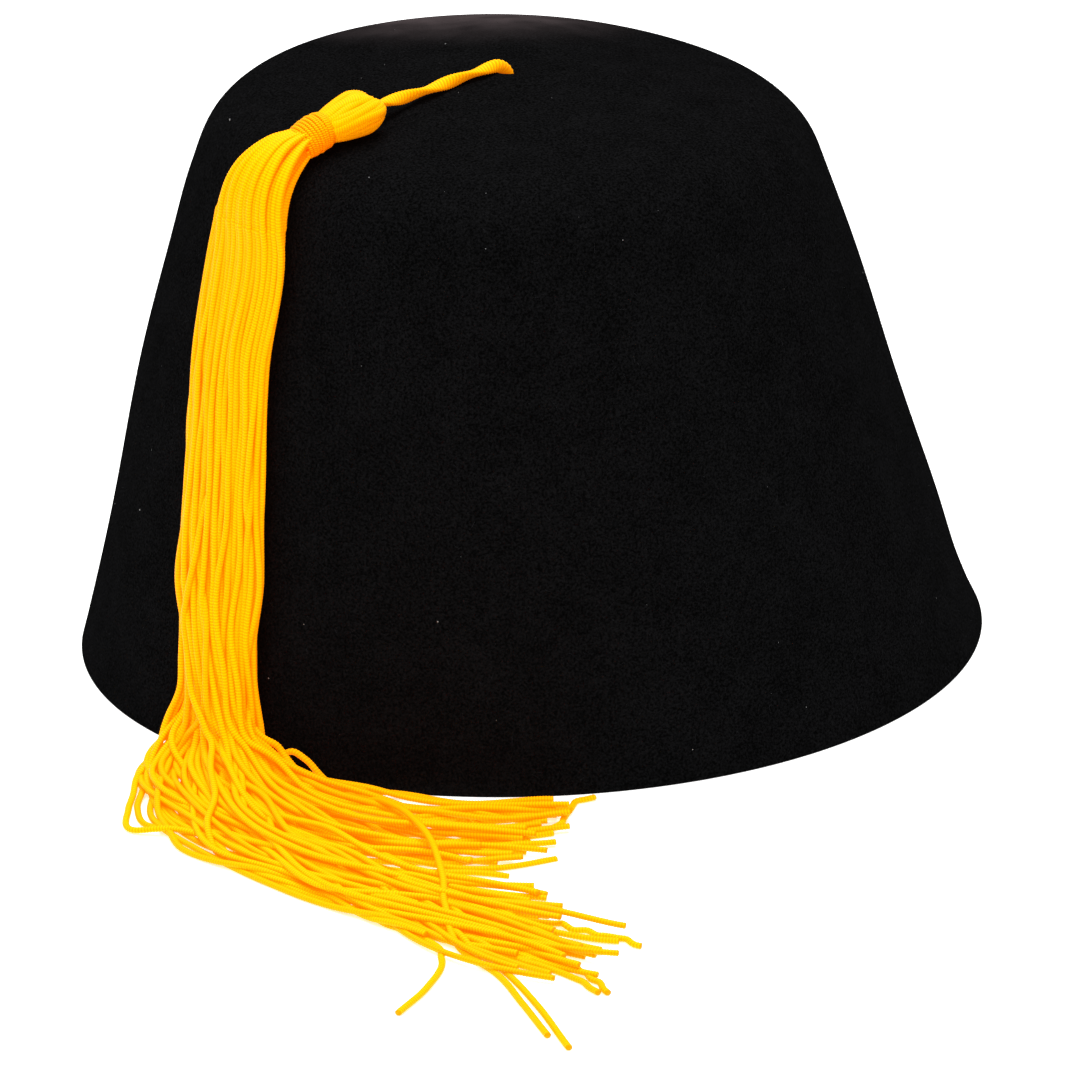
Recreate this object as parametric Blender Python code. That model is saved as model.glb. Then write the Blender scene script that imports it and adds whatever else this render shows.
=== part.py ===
"""A felt fez standing on its rim, with a gold tassel laid over its top, down its wall and out on the surface.

Metres, +Z up. The origin is the centre of the head opening, in the plane of the rim. +X is the wearer's front
and +Y the wearer's left.
"""

import math
from typing import NamedTuple

import bmesh
import bpy
import numpy as np

# Crown: a straight sloping wall, a round shoulder and a shallow dome, on an oval rim
RIM_RADIUS = 0.094
TOP_RADIUS = 0.064
CROWN_HEIGHT = 0.130
DOME_RISE = 0.0075
SHOULDER_RADIUS = 0.018
FELT_WALL = 0.0025
HEAD_OVAL = 0.075
CROWN_LEAN = 0.0075

# Cord, its hole at the top of the crown and the knot that holds it inside
CORD_DIAMETER = 0.0022
CORD_BEND = 0.0044
HOLE_FORWARD = 0.0016
CLEARANCE = 0.0003
HOLE_FADE = 8
LIP_SHARE = 0.9
KNOT_DIAMETER = 0.0085
KNOT_HEIGHT = 0.0050

# Tassel: its head, the bound neck and the skirt that hangs down the wall
TASSEL_BEARING = -152.0
HEAD_SWING = 6.8
NECK_SWING = 2.6
CORD_RUN = 0.0386
HEAD_LENGTH = 0.0125
HEAD_WIDTH = 0.0112
HEAD_DEPTH = 0.0098
NECK_LENGTH = 0.0070
BINDING_DIAMETER = 0.0082
BINDING_WALL = 0.0010
SKIRT_WIDTH = 0.0222
SKIRT_DEPTH = 0.0062
SKIRT_ROUNDING = 0.80
CORE_WIDTH = 0.80
CORE_DEPTH = 0.84
FOOT_BOW = 0.0120

# Fan: the skirt's lower end, turned round and spread on the surface
FAN_REACH = 0.0900
HEAP_DEPTH = 0.0060
LOCK_WIDTH = 0.0052
LOCK_DEPTH = 0.0030
LOCK_NARROWEST = 0.35
STRAY_DEPTH = 0.30
STRAY_BOW = 0.10

# Facets
CROWN_SIDES = 64
WALL_ROWS = 6
ARC_ROWS = 7
LIP_ROWS = 5
ROUND_SIDES = 16
BINDING_SIDES = 20
CORD_STEP = 0.6
HEAD_ROWS = 10
NECK_ROWS = 4
FLARE_ROWS = 9
LOCK_ROWS = 24
LOCK_SIDES = 8
STRAY_ROWS = 9
STRAY_SIDES = 6
SHARP_ANGLE = math.radians(40)


class SkirtStation(NamedTuple):
    """One section of the skirt on the wall."""

    fall: float  # height up the wall, as a share of the neck's
    swing: float  # degrees round the crown from the tassel's bearing
    spread: float  # share of the skirt's width
    depth: float  # share of the skirt's depth


class Lock(NamedTuple):
    """One lock of strands: its place in the skirt, then three places on the surface."""

    lane: float  # place across the skirt, from -1 at its left edge to 1 at its right
    layer: float  # 0 on the felt, 1 outermost
    turn: float  # degrees from the tassel's bearing, and the reach out from the rim as a share of the fan's
    turn_out: float
    sweep: float
    sweep_out: float
    tip: float
    tip_out: float
    heap: float  # height in the heap, as a share of its depth


class Laid(NamedTuple):
    """One section of every lock on the surface: at its turn, its sweep or its tip."""

    width: float  # share of a lock's width
    depth: float  # share of a lock's depth
    heap: float  # share of the lock's own height in the heap
    bow: float  # share of the foot's bow


class Stray(NamedTuple):
    """One thin lock that leaves the fan's outer edge: four places on the surface."""

    width: float  # share of a lock's width
    swings: tuple  # degrees from the tassel's bearing
    outs: tuple  # reach out from the rim, as shares of the fan's


class Section(NamedTuple):
    """One section of the tassel's head."""

    along: float  # share of the head's length, from the cord
    width: float  # share of the head's width
    depth: float  # share of the head's depth


class Belly(NamedTuple):
    """One ring of the knot."""

    radius: float  # share of the knot's radius
    drop: float  # share of the knot's height, down from the felt


class Finish(NamedTuple):
    """Plain look of one piece."""

    name: str
    colour: tuple
    roughness: float
    metallic: float = 0.0


SKIRT = (
    SkirtStation(fall=0.98, swing=2.0, spread=0.27, depth=1.20),
    SkirtStation(fall=0.94, swing=-0.4, spread=0.68, depth=1.42),
    SkirtStation(fall=0.85, swing=-0.5, spread=0.96, depth=1.12),
    SkirtStation(fall=0.65, swing=0.0, spread=1.00, depth=0.96),
    SkirtStation(fall=0.44, swing=3.0, spread=1.00, depth=0.94),
    SkirtStation(fall=0.20, swing=7.2, spread=0.90, depth=1.00),
)

LOCKS = (
    Lock(0.86, 0.9, 17.0, 0.01, 31, 0.08, 51.5, 0.10, 0.08),
    Lock(0.62, 0.1, 17.0, 0.00, 31, 0.12, 51.0, 0.16, 0.20),
    Lock(0.52, 1.0, 16.5, 0.01, 32, 0.21, 48.0, 0.25, 0.55),
    Lock(0.28, 0.1, 15.5, 0.03, 31, 0.27, 48.0, 0.34, 0.30),
    Lock(0.18, 1.0, 15.5, 0.04, 31, 0.33, 46.0, 0.44, 0.85),
    Lock(-0.10, 0.1, 15.0, 0.06, 31, 0.38, 49.0, 0.50, 0.35),
    Lock(-0.17, 1.0, 14.5, 0.06, 31, 0.43, 51.0, 0.55, 0.90),
    Lock(-0.52, 1.0, 13.5, 0.08, 31, 0.48, 55.0, 0.74, 0.65),
    Lock(-0.40, 0.1, 13.0, 0.12, 30, 0.48, 53.5, 0.83, 0.25),
    Lock(-0.70, 0.2, 11.5, 0.14, 28, 0.48, 52.0, 0.90, 0.40),
    Lock(-0.88, 0.7, 7.8, 0.16, 25, 0.45, 50.0, 0.86, 0.30),
    Lock(-0.90, 0.3, 8.8, 0.26, 22, 0.40, 44.0, 0.68, 0.20),
)

LAID = (
    Laid(width=1.24, depth=1.04, heap=0.75, bow=1.0),
    Laid(width=1.60, depth=1.00, heap=0.60, bow=0.3),
    Laid(width=1.00, depth=0.68, heap=0.00, bow=0.1),
)

STRAYS = (
    Stray(0.32, (37.0, 41.0, 43.4, 41.8), (0.62, 0.72, 0.88, 1.12)),
    Stray(0.50, (40.0, 45.0, 48.2, 50.2), (0.64, 0.84, 1.06, 1.27)),
)

HEAD = (
    Section(along=0.00, width=0.42, depth=0.42),
    Section(along=0.07, width=0.76, depth=0.76),
    Section(along=0.30, width=1.00, depth=1.00),
    Section(along=0.60, width=0.98, depth=0.98),
    Section(along=0.86, width=0.80, depth=0.80),
)

KNOT = (
    Belly(radius=0.75, drop=0.00),
    Belly(radius=1.00, drop=0.30),
    Belly(radius=1.00, drop=0.60),
    Belly(radius=0.70, drop=1.00),
)

# Shares of the binding's wall by which its rows of thread fall away, from one end to the other
BINDING_ROWS = (0.45, 0.08, 0.00, 0.08, 0.45)

BLACK_FELT = Finish("black_wool_felt", (0.006, 0.006, 0.007), 0.95)
GOLD_STRANDS = Finish("gold_rayon_strands", (0.95, 0.50, 0.0), 0.50)
GOLD_THREAD = Finish("gold_binding_thread", (0.93, 0.46, 0.0), 0.45)
GOLD_CORD = Finish("gold_rayon_cord", (0.95, 0.48, 0.0), 0.50)
KNOTTED_CORD = Finish("gold_knotted_cord", (0.90, 0.44, 0.0), 0.60)

# The cord's route, chosen by hand: up through its hole, over the lip and along the top to the head.
# Heights are from the top of the crown
CORD_ROUTE = (
    (-0.00573, 0.00000, -0.00300),
    (-0.00582, -0.00006, -0.00210),
    (-0.00608, -0.00022, -0.00114),
    (-0.00653, -0.00049, -0.00028),
    (-0.00715, -0.00086, 0.00040),
    (-0.00800, -0.00138, 0.00100),
    (-0.00900, -0.00198, 0.00132),
    (-0.01010, -0.00266, 0.00139),
    (-0.01240, -0.00410, 0.00135),
    (-0.01520, -0.00570, 0.00125),
    (-0.01820, -0.00742, 0.00112),
    (-0.02120, -0.00912, 0.00098),
    (-0.02420, -0.01098, 0.00088),
    (-0.02720, -0.01284, 0.00082),
    (-0.03020, -0.01464, 0.00080),
    (-0.03310, -0.01642, 0.00092),
    (-0.03580, -0.01836, 0.00118),
    (-0.03830, -0.02014, 0.00138),
)

# Outline of the crown, worked out from the sizes above
CORNER_HEIGHT = CROWN_HEIGHT - DOME_RISE
DOME_RADIUS = (TOP_RADIUS**2 + DOME_RISE**2) / (2 * DOME_RISE)
DOME_CENTRE = np.array([0.0, CROWN_HEIGHT - DOME_RADIUS])
RIM_FOOT = np.array([RIM_RADIUS, 0.0])
WALL_UP = np.array([TOP_RADIUS - RIM_RADIUS, CORNER_HEIGHT])
WALL_UP = WALL_UP / np.linalg.norm(WALL_UP)
WALL_OUT = np.array([WALL_UP[1], -WALL_UP[0]])


def shoulder_place():
    """Centre of the shoulder's arc, which touches the wall and the dome, and the length of wall below it."""
    offset = RIM_FOOT - WALL_OUT * SHOULDER_RADIUS - DOME_CENTRE
    along = offset @ WALL_UP
    room = (DOME_RADIUS - SHOULDER_RADIUS) ** 2 - offset @ offset
    length = math.sqrt(along**2 + room) - along
    return DOME_CENTRE + offset + WALL_UP * length, length


SHOULDER_CENTRE, WALL_LENGTH = shoulder_place()
WALL_ANGLE = math.atan2(WALL_OUT[1], WALL_OUT[0])
DOME_ANGLE = math.atan2(*(SHOULDER_CENTRE - DOME_CENTRE)[::-1])
SHOULDER_TOP = WALL_LENGTH + SHOULDER_RADIUS * (DOME_ANGLE - WALL_ANGLE)
APEX = SHOULDER_TOP + DOME_RADIUS * (math.pi / 2 - DOME_ANGLE)

# Cord hole: its lip is round, at the cord's own bend
HOLE_RADIUS = CORD_DIAMETER / 2 + CLEARANCE
LIP_RADIUS = CORD_BEND - HOLE_RADIUS
MOUTH_RADIUS = HOLE_RADIUS + LIP_RADIUS

# Distances up the wall from the rim, measured along the felt
HEAD_START = APEX - CORD_RUN
NECK_START = HEAD_START - HEAD_LENGTH
NECK_END = NECK_START - NECK_LENGTH
NECK_SHARE = HEAD_LENGTH / (HEAD_LENGTH + NECK_LENGTH)
NECK_RADIUS = BINDING_DIAMETER / 2 - BINDING_WALL - CLEARANCE
NECK_LIFT = BINDING_DIAMETER / 2 + CLEARANCE

# Stretch of the skirt that has a core under its locks
CORE = SKIRT[1:4]


def unit(vectors):
    """The vectors at length 1."""
    return vectors / np.linalg.norm(vectors, axis=-1, keepdims=True)


def turned(angle):
    """Unit vectors at each angle."""
    return np.stack([np.cos(angle), np.sin(angle)], -1)


def round_angles(sides):
    """Even steps round a circle."""
    return 2 * math.pi * np.arange(sides) / sides


def placed(line, bearing):
    """Points of the oval, leaning crown at each (radius, height) of a line and each bearing in radians.
    Towards the middle of the top they move forward, to the cord's hole."""
    radius = line[..., 0]
    height = line[..., 1]
    oval = HEAD_OVAL * np.clip(1 - height / CORNER_HEIGHT, 0, 1)
    forward = HOLE_FORWARD * np.clip((TOP_RADIUS - radius) / (TOP_RADIUS - MOUTH_RADIUS), 0, 1)
    forward = forward * np.clip(height / CORNER_HEIGHT, 0, 1) ** HOLE_FADE
    across = radius * (1 - oval) * np.sin(bearing)
    along = radius * (1 + oval) * np.cos(bearing) - CROWN_LEAN * height / CROWN_HEIGHT + forward
    return np.stack([along, across, height + 0 * bearing], -1)


def drape_line(reach, bow):
    """(radius, height) and outward normal at each reach: positive up the felt from the rim's foot, negative
    out on the surface. The bow keeps the line out of the corner between the two."""
    reach = np.asarray(reach, float)[..., None]
    bow = np.asarray(bow, float)[..., None] + 0 * reach
    root = np.sqrt(reach**2 + bow**2)
    outward = np.array([1.0, 0.0])
    low = RIM_FOOT + WALL_UP * (root + reach) / 2 + outward * (root - reach) / 2
    along = unit(WALL_UP * (1 + reach / root) - outward * (1 - reach / root))
    low_out = np.stack([along[..., 1], -along[..., 0]], -1)
    shoulder_out = turned(WALL_ANGLE + (reach[..., 0] - WALL_LENGTH) / SHOULDER_RADIUS)
    dome_out = turned(DOME_ANGLE + (reach[..., 0] - SHOULDER_TOP) / DOME_RADIUS)
    on_shoulder = reach > WALL_LENGTH
    on_dome = reach > SHOULDER_TOP
    line = np.where(on_shoulder, SHOULDER_CENTRE + SHOULDER_RADIUS * shoulder_out, low)
    line = np.where(on_dome, DOME_CENTRE + DOME_RADIUS * dome_out, line)
    out = np.where(on_shoulder, shoulder_out, low_out)
    return line, np.where(on_dome, dome_out, out)


def draped(swing, reach, lift, bow):
    """Points on the crown or the surface: degrees from the tassel's bearing, reach, and height off it."""
    line, out = drape_line(reach, bow)
    return placed(line + out * np.asarray(lift)[..., None], np.radians(TASSEL_BEARING + swing))


def smooth_curve(knots, rows, at):
    """Rows read at the given places from a curve that runs smoothly through them at their knots."""
    step = np.diff(knots)[:, None]
    slope = np.diff(rows, axis=0) / step
    inner = (slope[:-1] * step[1:] + slope[1:] * step[:-1]) / (step[:-1] + step[1:])
    tangent = np.vstack([slope[:1], inner, slope[-1:]])
    piece = np.clip(np.searchsorted(knots, at) - 1, 0, len(step) - 1)
    span = step[piece]
    share = (at[:, None] - knots[piece][:, None]) / span
    rest = 1 - share
    ends = rows[piece] * (1 + 2 * share) * rest**2 + rows[piece + 1] * (1 + 2 * rest) * share**2
    return ends + span * (tangent[piece] * share * rest**2 - tangent[piece + 1] * rest * share**2)


def resampled(rows, count):
    """Rows of (swing, reach, lift, bow, half width, half depth) at even steps along their smooth curve."""
    unrolled = np.column_stack([np.radians(rows[:, 0]) * RIM_RADIUS, rows[:, 1]])
    knots = np.concatenate([[0], np.cumsum(np.linalg.norm(np.diff(unrolled, axis=0), axis=1))])
    return smooth_curve(knots, rows, np.linspace(0, knots[-1], count))


def frames(rows):
    """Centres of the rows, with the unit directions along, sideways and off the felt at each."""
    swing, reach, lift, bow = rows[:, :4].T
    centre = draped(swing, reach, lift, bow)
    along = unit(np.gradient(centre, axis=0))
    off = draped(swing, reach, lift + CLEARANCE, bow) - centre
    off = unit(off - along * np.sum(off * along, axis=1, keepdims=True))
    return centre, along, np.cross(off, along), off


def rings_round(rows, sides):
    """Elliptical rings round the rows' centres."""
    centre, _, sideways, off = frames(rows)
    angle = round_angles(sides) + math.pi / sides
    wide = rows[:, 4, None, None] * sideways[:, None] * np.cos(angle)[:, None]
    deep = rows[:, 5, None, None] * off[:, None] * np.sin(angle)[:, None]
    return centre[:, None] + wide + deep


def lofted(name, rings, closed_ring=False):
    """Object with quads between successive rings, filled at both ends, or joined end to start."""
    count, sides = rings.shape[:2]
    mesh = bpy.data.meshes.new(name)
    shape = bmesh.new()
    loops = [[shape.verts.new(point) for point in ring] for ring in rings]
    pairs = zip(loops, loops[1:] + loops[:1]) if closed_ring else zip(loops, loops[1:])
    for low, high in pairs:
        for k in range(sides):
            after = (k + 1) % sides
            shape.faces.new((low[k], low[after], high[after], high[k]))
    if not closed_ring:
        shape.faces.new(loops[0][::-1])
        shape.faces.new(loops[-1])
    bmesh.ops.recalc_face_normals(shape, faces=shape.faces[:])
    shape.to_mesh(mesh)
    shape.free()
    made = bpy.data.objects.new(name, mesh)
    bpy.context.scene.collection.objects.link(made)
    return made


def dome_end(radius, inset):
    """Angle on the dome, set in by a thickness, where it comes to this radius."""
    return math.acos(radius / (DOME_RADIUS - inset))


def crown_side(inset, end_radius):
    """(radius, height) rows from the rim up to the cord hole, set in from the outer face by a thickness."""
    low = RIM_FOOT - WALL_OUT * inset
    low = low - WALL_UP * low[1] / WALL_UP[1]
    high = SHOULDER_CENTRE + WALL_OUT * (SHOULDER_RADIUS - inset)
    wall = low + (high - low) * np.linspace(0, 1, WALL_ROWS)[:, None]
    shoulder_turn = np.linspace(WALL_ANGLE, DOME_ANGLE, ARC_ROWS)[1:]
    shoulder = SHOULDER_CENTRE + (SHOULDER_RADIUS - inset) * turned(shoulder_turn)
    dome_turn = np.linspace(DOME_ANGLE, dome_end(end_radius, inset), ARC_ROWS)[1:]
    dome = DOME_CENTRE + (DOME_RADIUS - inset) * turned(dome_turn)
    return np.vstack([wall, shoulder, dome])


def lip_rows(mouth_height):
    """Rows of the hole's round lip, from its mouth down to near the inner face."""
    depth = min(LIP_RADIUS, LIP_SHARE * FELT_WALL)
    turn = np.linspace(0, math.acos(1 - depth / LIP_RADIUS), LIP_ROWS)[1:]
    radius = MOUTH_RADIUS - LIP_RADIUS * np.sin(turn)
    return np.column_stack([radius, mouth_height - LIP_RADIUS * (1 - np.cos(turn))])


def felt_crown():
    """Hollow crown, open at the rim, with the cord's hole at its top."""
    outer = crown_side(0, MOUTH_RADIUS)
    inner = crown_side(FELT_WALL, HOLE_RADIUS)
    line = np.vstack([outer, lip_rows(outer[-1, 1]), inner[::-1]])
    bearing = round_angles(CROWN_SIDES)
    rings = placed(line[:, None] + np.zeros((1, CROWN_SIDES, 1)), bearing[None] + np.zeros((len(line), 1)))
    return lofted("felt_crown", rings, closed_ring=True)


def cord_route():
    """Points of the cord's route."""
    return np.array(CORD_ROUTE) + (0.0, 0.0, CROWN_HEIGHT)


def inner_apex():
    """Middle of the cord hole, on the crown's inner face."""
    height = DOME_CENTRE[1] + DOME_RADIUS - FELT_WALL
    return placed(np.array([0.0, height]), np.array(0.0))


def cord_knot():
    """Plain round knot under the crown's top, dished where the cord comes out of it."""
    dish = HOLE_RADIUS + CLEARANCE
    depth = max(inner_apex()[2] - cord_route()[0, 2], CLEARANCE)
    line = [(dish / 2, -depth - CLEARANCE), (dish, -depth - CLEARANCE), (dish + depth, -CLEARANCE)]
    line += [(ring.radius * KNOT_DIAMETER / 2, -CLEARANCE - ring.drop * KNOT_HEIGHT) for ring in KNOT]
    line = np.array(line)
    flat = turned(round_angles(ROUND_SIDES))[None] * line[:, None, :1]
    rings = np.concatenate([flat, np.broadcast_to(line[:, None, 1:], (len(line), ROUND_SIDES, 1))], -1)
    return lofted("cord_knot", rings + inner_apex())


def tassel_cord():
    """Round tube along the cord's route."""
    route = cord_route()
    knots = np.concatenate([[0], np.cumsum(np.linalg.norm(np.diff(route, axis=0), axis=1))])
    count = 2 + int(knots[-1] / (CORD_DIAMETER * CORD_STEP))
    points = smooth_curve(knots, route, np.linspace(0, knots[-1], count))
    curve = bpy.data.curves.new("tassel_cord", "CURVE")
    curve.dimensions = "3D"
    curve.bevel_depth = CORD_DIAMETER / 2
    curve.bevel_resolution = 2
    curve.use_fill_caps = True
    spline = curve.splines.new("POLY")
    spline.points.add(count - 1)
    spline.points.foreach_set("co", np.column_stack([points, np.ones(count)]).ravel())
    made = bpy.data.objects.new("tassel_cord", curve)
    bpy.context.scene.collection.objects.link(made)
    return made


def neck_axis(along):
    """Rows at shares of the way from the cord's end of the head to the neck's lower end."""
    along = np.asarray(along, float)
    reach = HEAD_START + (NECK_END - HEAD_START) * along
    swing = NECK_SWING + (HEAD_SWING - NECK_SWING) * (1 - along)
    lift = NECK_LIFT + (HEAD_DEPTH / 2 + CLEARANCE - NECK_LIFT) * (1 - along)
    return np.column_stack([swing, reach, lift, np.full(along.shape, FOOT_BOW)])


def head_core():
    """Folded head, bound neck and the root of the skirt, as one tapering form."""
    half = np.array([(section.width * HEAD_WIDTH, section.depth * HEAD_DEPTH) for section in HEAD]) / 2
    head = np.column_stack([neck_axis([section.along * NECK_SHARE for section in HEAD]), half])
    neck = neck_axis(np.linspace(NECK_SHARE, 1, NECK_ROWS))
    neck = np.column_stack([neck, np.full((NECK_ROWS, 2), NECK_RADIUS)])
    wide = np.array([station.spread for station in CORE]) * SKIRT_WIDTH * CORE_WIDTH
    deep = np.array([station.depth for station in CORE]) * SKIRT_DEPTH * CORE_DEPTH
    root = np.column_stack([skirt_rows(CORE, 0.0, 0.5), wide / 2, deep / 2])
    bulb = resampled(np.vstack([head, neck[:1]]), HEAD_ROWS)
    flare = resampled(np.vstack([neck[-1:], root]), FLARE_ROWS)
    rows = np.vstack([bulb[:-1], neck[:-1], flare])
    return lofted("tassel_bundle", rings_round(rows, ROUND_SIDES))


def skirt_rows(stations, lane, layer):
    """Rows (swing, reach, lift, bow) of one lane of the skirt, at the stations of the table."""
    reach = np.array([station.fall for station in stations]) * NECK_END
    spread = np.array([station.spread for station in stations]) * SKIRT_WIDTH / 2
    depth = np.array([station.depth for station in stations]) * SKIRT_DEPTH
    line, _ = drape_line(reach, FOOT_BOW)
    swing = np.array([station.swing for station in stations]) + np.degrees(lane * spread / line[:, 0])
    rounding = np.sqrt(1 - (SKIRT_ROUNDING * lane) ** 2)
    lift = CLEARANCE + LOCK_DEPTH / 2 + layer * rounding * (depth - LOCK_DEPTH)
    return np.column_stack([swing, reach, lift, np.full(reach.shape, FOOT_BOW)])


def lock_rows(lock):
    """Rows of a lock from the neck to its tip."""
    hung = skirt_rows(SKIRT, lock.lane, lock.layer)
    narrow = LOCK_WIDTH * np.array([max(LOCK_NARROWEST, station.spread) for station in SKIRT]) / 2
    hung = np.column_stack([hung, narrow, np.full(len(SKIRT), LOCK_DEPTH / 2)])
    wide, deep, heap, bow = np.array(LAID).T
    swing = np.array([lock.turn, lock.sweep, lock.tip])
    out = np.array([lock.turn_out, lock.sweep_out, lock.tip_out]) * FAN_REACH
    lift = CLEARANCE + LOCK_DEPTH / 2 + HEAP_DEPTH * lock.heap * heap
    laid = [swing, -out, lift, bow * FOOT_BOW, wide * LOCK_WIDTH / 2, deep * LOCK_DEPTH / 2]
    return np.vstack([hung, np.column_stack(laid)])


def stray_rows(stray):
    """Rows of a thin lock on the surface."""
    wide = LOCK_WIDTH * stray.width / 2
    deep = min(wide, LOCK_DEPTH * STRAY_DEPTH)
    swing, out = np.array([stray.swings, stray.outs])
    level = np.tile([deep + CLEARANCE, FOOT_BOW * STRAY_BOW, wide, deep], (len(swing), 1))
    return np.column_stack([swing, -out * FAN_REACH, level])


def tassel_bundle():
    """Head, neck, skirt and fan: every lock fused to the core that runs through the neck."""
    core = head_core()
    group = bpy.data.collections.new("locks")
    bpy.context.scene.collection.children.link(group)
    shapes = [(lock_rows(lock), LOCK_ROWS, LOCK_SIDES) for lock in LOCKS]
    shapes += [(stray_rows(stray), STRAY_ROWS, STRAY_SIDES) for stray in STRAYS]
    for rows, count, sides in shapes:
        lock = lofted("lock", rings_round(resampled(rows, count), sides))
        bpy.context.scene.collection.objects.unlink(lock)
        group.objects.link(lock)
    union = core.modifiers.new("locks", "BOOLEAN")
    union.operation = "UNION"
    union.operand_type = "COLLECTION"
    union.collection = group
    union.solver = "EXACT"
    bpy.context.view_layer.update()
    fused = bpy.data.meshes.new_from_object(core.evaluated_get(bpy.context.evaluated_depsgraph_get()))
    core.modifiers.clear()
    core.data = fused
    for lock in list(group.objects):
        bpy.data.objects.remove(lock)
    bpy.data.collections.remove(group)
    keep_outer_skin(fused)
    return core


def keep_outer_skin(mesh):
    """Removes the skins of small hollows shut in between locks, leaving the largest connected surface."""
    shape = bmesh.new()
    shape.from_mesh(mesh)
    left = set(shape.verts)
    islands = []
    while left:
        edge = [left.pop()]
        island = list(edge)
        while edge:
            near = {other.other_vert(vert) for vert in edge for other in vert.link_edges} & left
            left -= near
            edge = list(near)
            island += edge
        islands.append(island)
    islands.sort(key=len)
    bmesh.ops.delete(shape, geom=[vert for island in islands[:-1] for vert in island], context="VERTS")
    shape.to_mesh(mesh)
    shape.free()


def neck_binding():
    """Ring of wound thread round the neck, a clearance away from it."""
    count = len(BINDING_ROWS)
    margin = CLEARANCE / (HEAD_LENGTH + NECK_LENGTH)
    centre, _, sideways, off = frames(neck_axis(np.linspace(NECK_SHARE + margin, 1 - margin, count)))
    inner = np.full(count, NECK_RADIUS + CLEARANCE)
    outer = BINDING_DIAMETER / 2 - BINDING_WALL * np.array(BINDING_ROWS)
    angle = round_angles(BINDING_SIDES)
    spoke = sideways[:, None] * np.cos(angle)[:, None] + off[:, None] * np.sin(angle)[:, None]
    out_side = centre[:, None] + outer[:, None, None] * spoke
    in_side = centre[:, None] + inner[:, None, None] * spoke
    return lofted("neck_binding", np.concatenate([out_side, in_side[::-1]]), closed_ring=True)


def material(finish):
    """Principled material of a finish."""
    made = bpy.data.materials.new(finish.name)
    made.use_nodes = True
    shader = made.node_tree.nodes["Principled BSDF"]
    shader.inputs["Base Color"].default_value = (*finish.colour, 1.0)
    shader.inputs["Roughness"].default_value = finish.roughness
    shader.inputs["Metallic"].default_value = finish.metallic
    made.diffuse_color = (*finish.colour, 1.0)
    return made


def dress(made, finish):
    """Gives an object its material and smooth shading."""
    made.data.materials.clear()
    made.data.materials.append(material(finish))
    if made.type == "MESH":
        made.data.shade_smooth()
        made.data.set_sharp_from_angle(angle=SHARP_ANGLE)
    else:
        made.data.splines[0].use_smooth = True


def main():
    """Clears the scene and makes every piece."""
    for old in list(bpy.data.objects):
        bpy.data.objects.remove(old)
    dress(felt_crown(), BLACK_FELT)
    dress(cord_knot(), KNOTTED_CORD)
    dress(tassel_cord(), GOLD_CORD)
    dress(tassel_bundle(), GOLD_STRANDS)
    dress(neck_binding(), GOLD_THREAD)


main()
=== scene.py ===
"""A black wool felt fez standing on its rim, with a long golden tassel of chainette strands.

Metres, +Z up. The origin is the centre of the head opening, in the plane of the rim. +X is the wearer's
front and +Y the wearer's left. The tassel hangs from the middle of the top, lies down the wall and spreads
out on the surface.
"""

import logging
import math
from dataclasses import dataclass, field, replace
from enum import Enum
from functools import cached_property
from typing import Any, NamedTuple

import bpy
import numpy as np
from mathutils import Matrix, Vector


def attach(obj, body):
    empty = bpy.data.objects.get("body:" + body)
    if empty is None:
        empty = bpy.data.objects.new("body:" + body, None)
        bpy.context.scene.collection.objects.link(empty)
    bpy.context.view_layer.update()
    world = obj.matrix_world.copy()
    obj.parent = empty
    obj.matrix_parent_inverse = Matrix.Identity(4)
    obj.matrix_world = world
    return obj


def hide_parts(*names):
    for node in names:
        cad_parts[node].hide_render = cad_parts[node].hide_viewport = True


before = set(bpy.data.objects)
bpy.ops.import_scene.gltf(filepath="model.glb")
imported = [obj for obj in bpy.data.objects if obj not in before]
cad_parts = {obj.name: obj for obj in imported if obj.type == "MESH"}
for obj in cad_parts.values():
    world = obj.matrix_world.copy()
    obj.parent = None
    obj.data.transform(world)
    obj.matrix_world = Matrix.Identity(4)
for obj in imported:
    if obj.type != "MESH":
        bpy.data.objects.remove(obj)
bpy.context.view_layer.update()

log = logging.getLogger("fez")

MM = 0.001
BODY = "root"
Array = np.ndarray


class Slot(Enum):
    """Material slots of the record."""

    FELT = "black_felt"
    STRANDS = "gold_strands"
    THREAD = "gold_thread"
    CORD = "gold_cord"


def linear(hex_colour: str) -> tuple[float, float, float, float]:
    """Turns an sRGB hex colour into linear RGBA.

    Args:
        hex_colour: six hex digits, such as "F2B705".

    Returns:
        Red, green, blue and an alpha of 1.
    """
    share = np.array([int(hex_colour[k : k + 2], 16) for k in (0, 2, 4)]) / 255
    light = np.where(share <= 0.04045, share / 12.92, ((share + 0.055) / 1.055) ** 2.4)
    return (*map(float, light), 1.0)


def unit(vectors: Array) -> Array:
    """The vectors at length 1."""
    return vectors / np.maximum(np.linalg.norm(vectors, axis=-1, keepdims=True), 1e-12)


def turned(angle: Array) -> Array:
    """Unit vectors (cosine, sine) at each angle."""
    return np.stack([np.cos(angle), np.sin(angle)], -1)


def circle(count: int) -> Array:
    """Even angles round a circle, from 0."""
    return 2 * math.pi * np.arange(count) / count


def spun(angle: Array, first: Array, second: Array) -> Array:
    """The cosine of each angle times the first vectors and its sine times the second."""
    return np.cos(angle)[..., None] * first + np.sin(angle)[..., None] * second


def smooth_step(value: Array, low: float, high: float) -> Array:
    """0 below low, 1 above high, and an S curve in between."""
    share = np.clip((value - low) / (high - low), 0, 1)
    return share * share * (3 - 2 * share)


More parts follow.
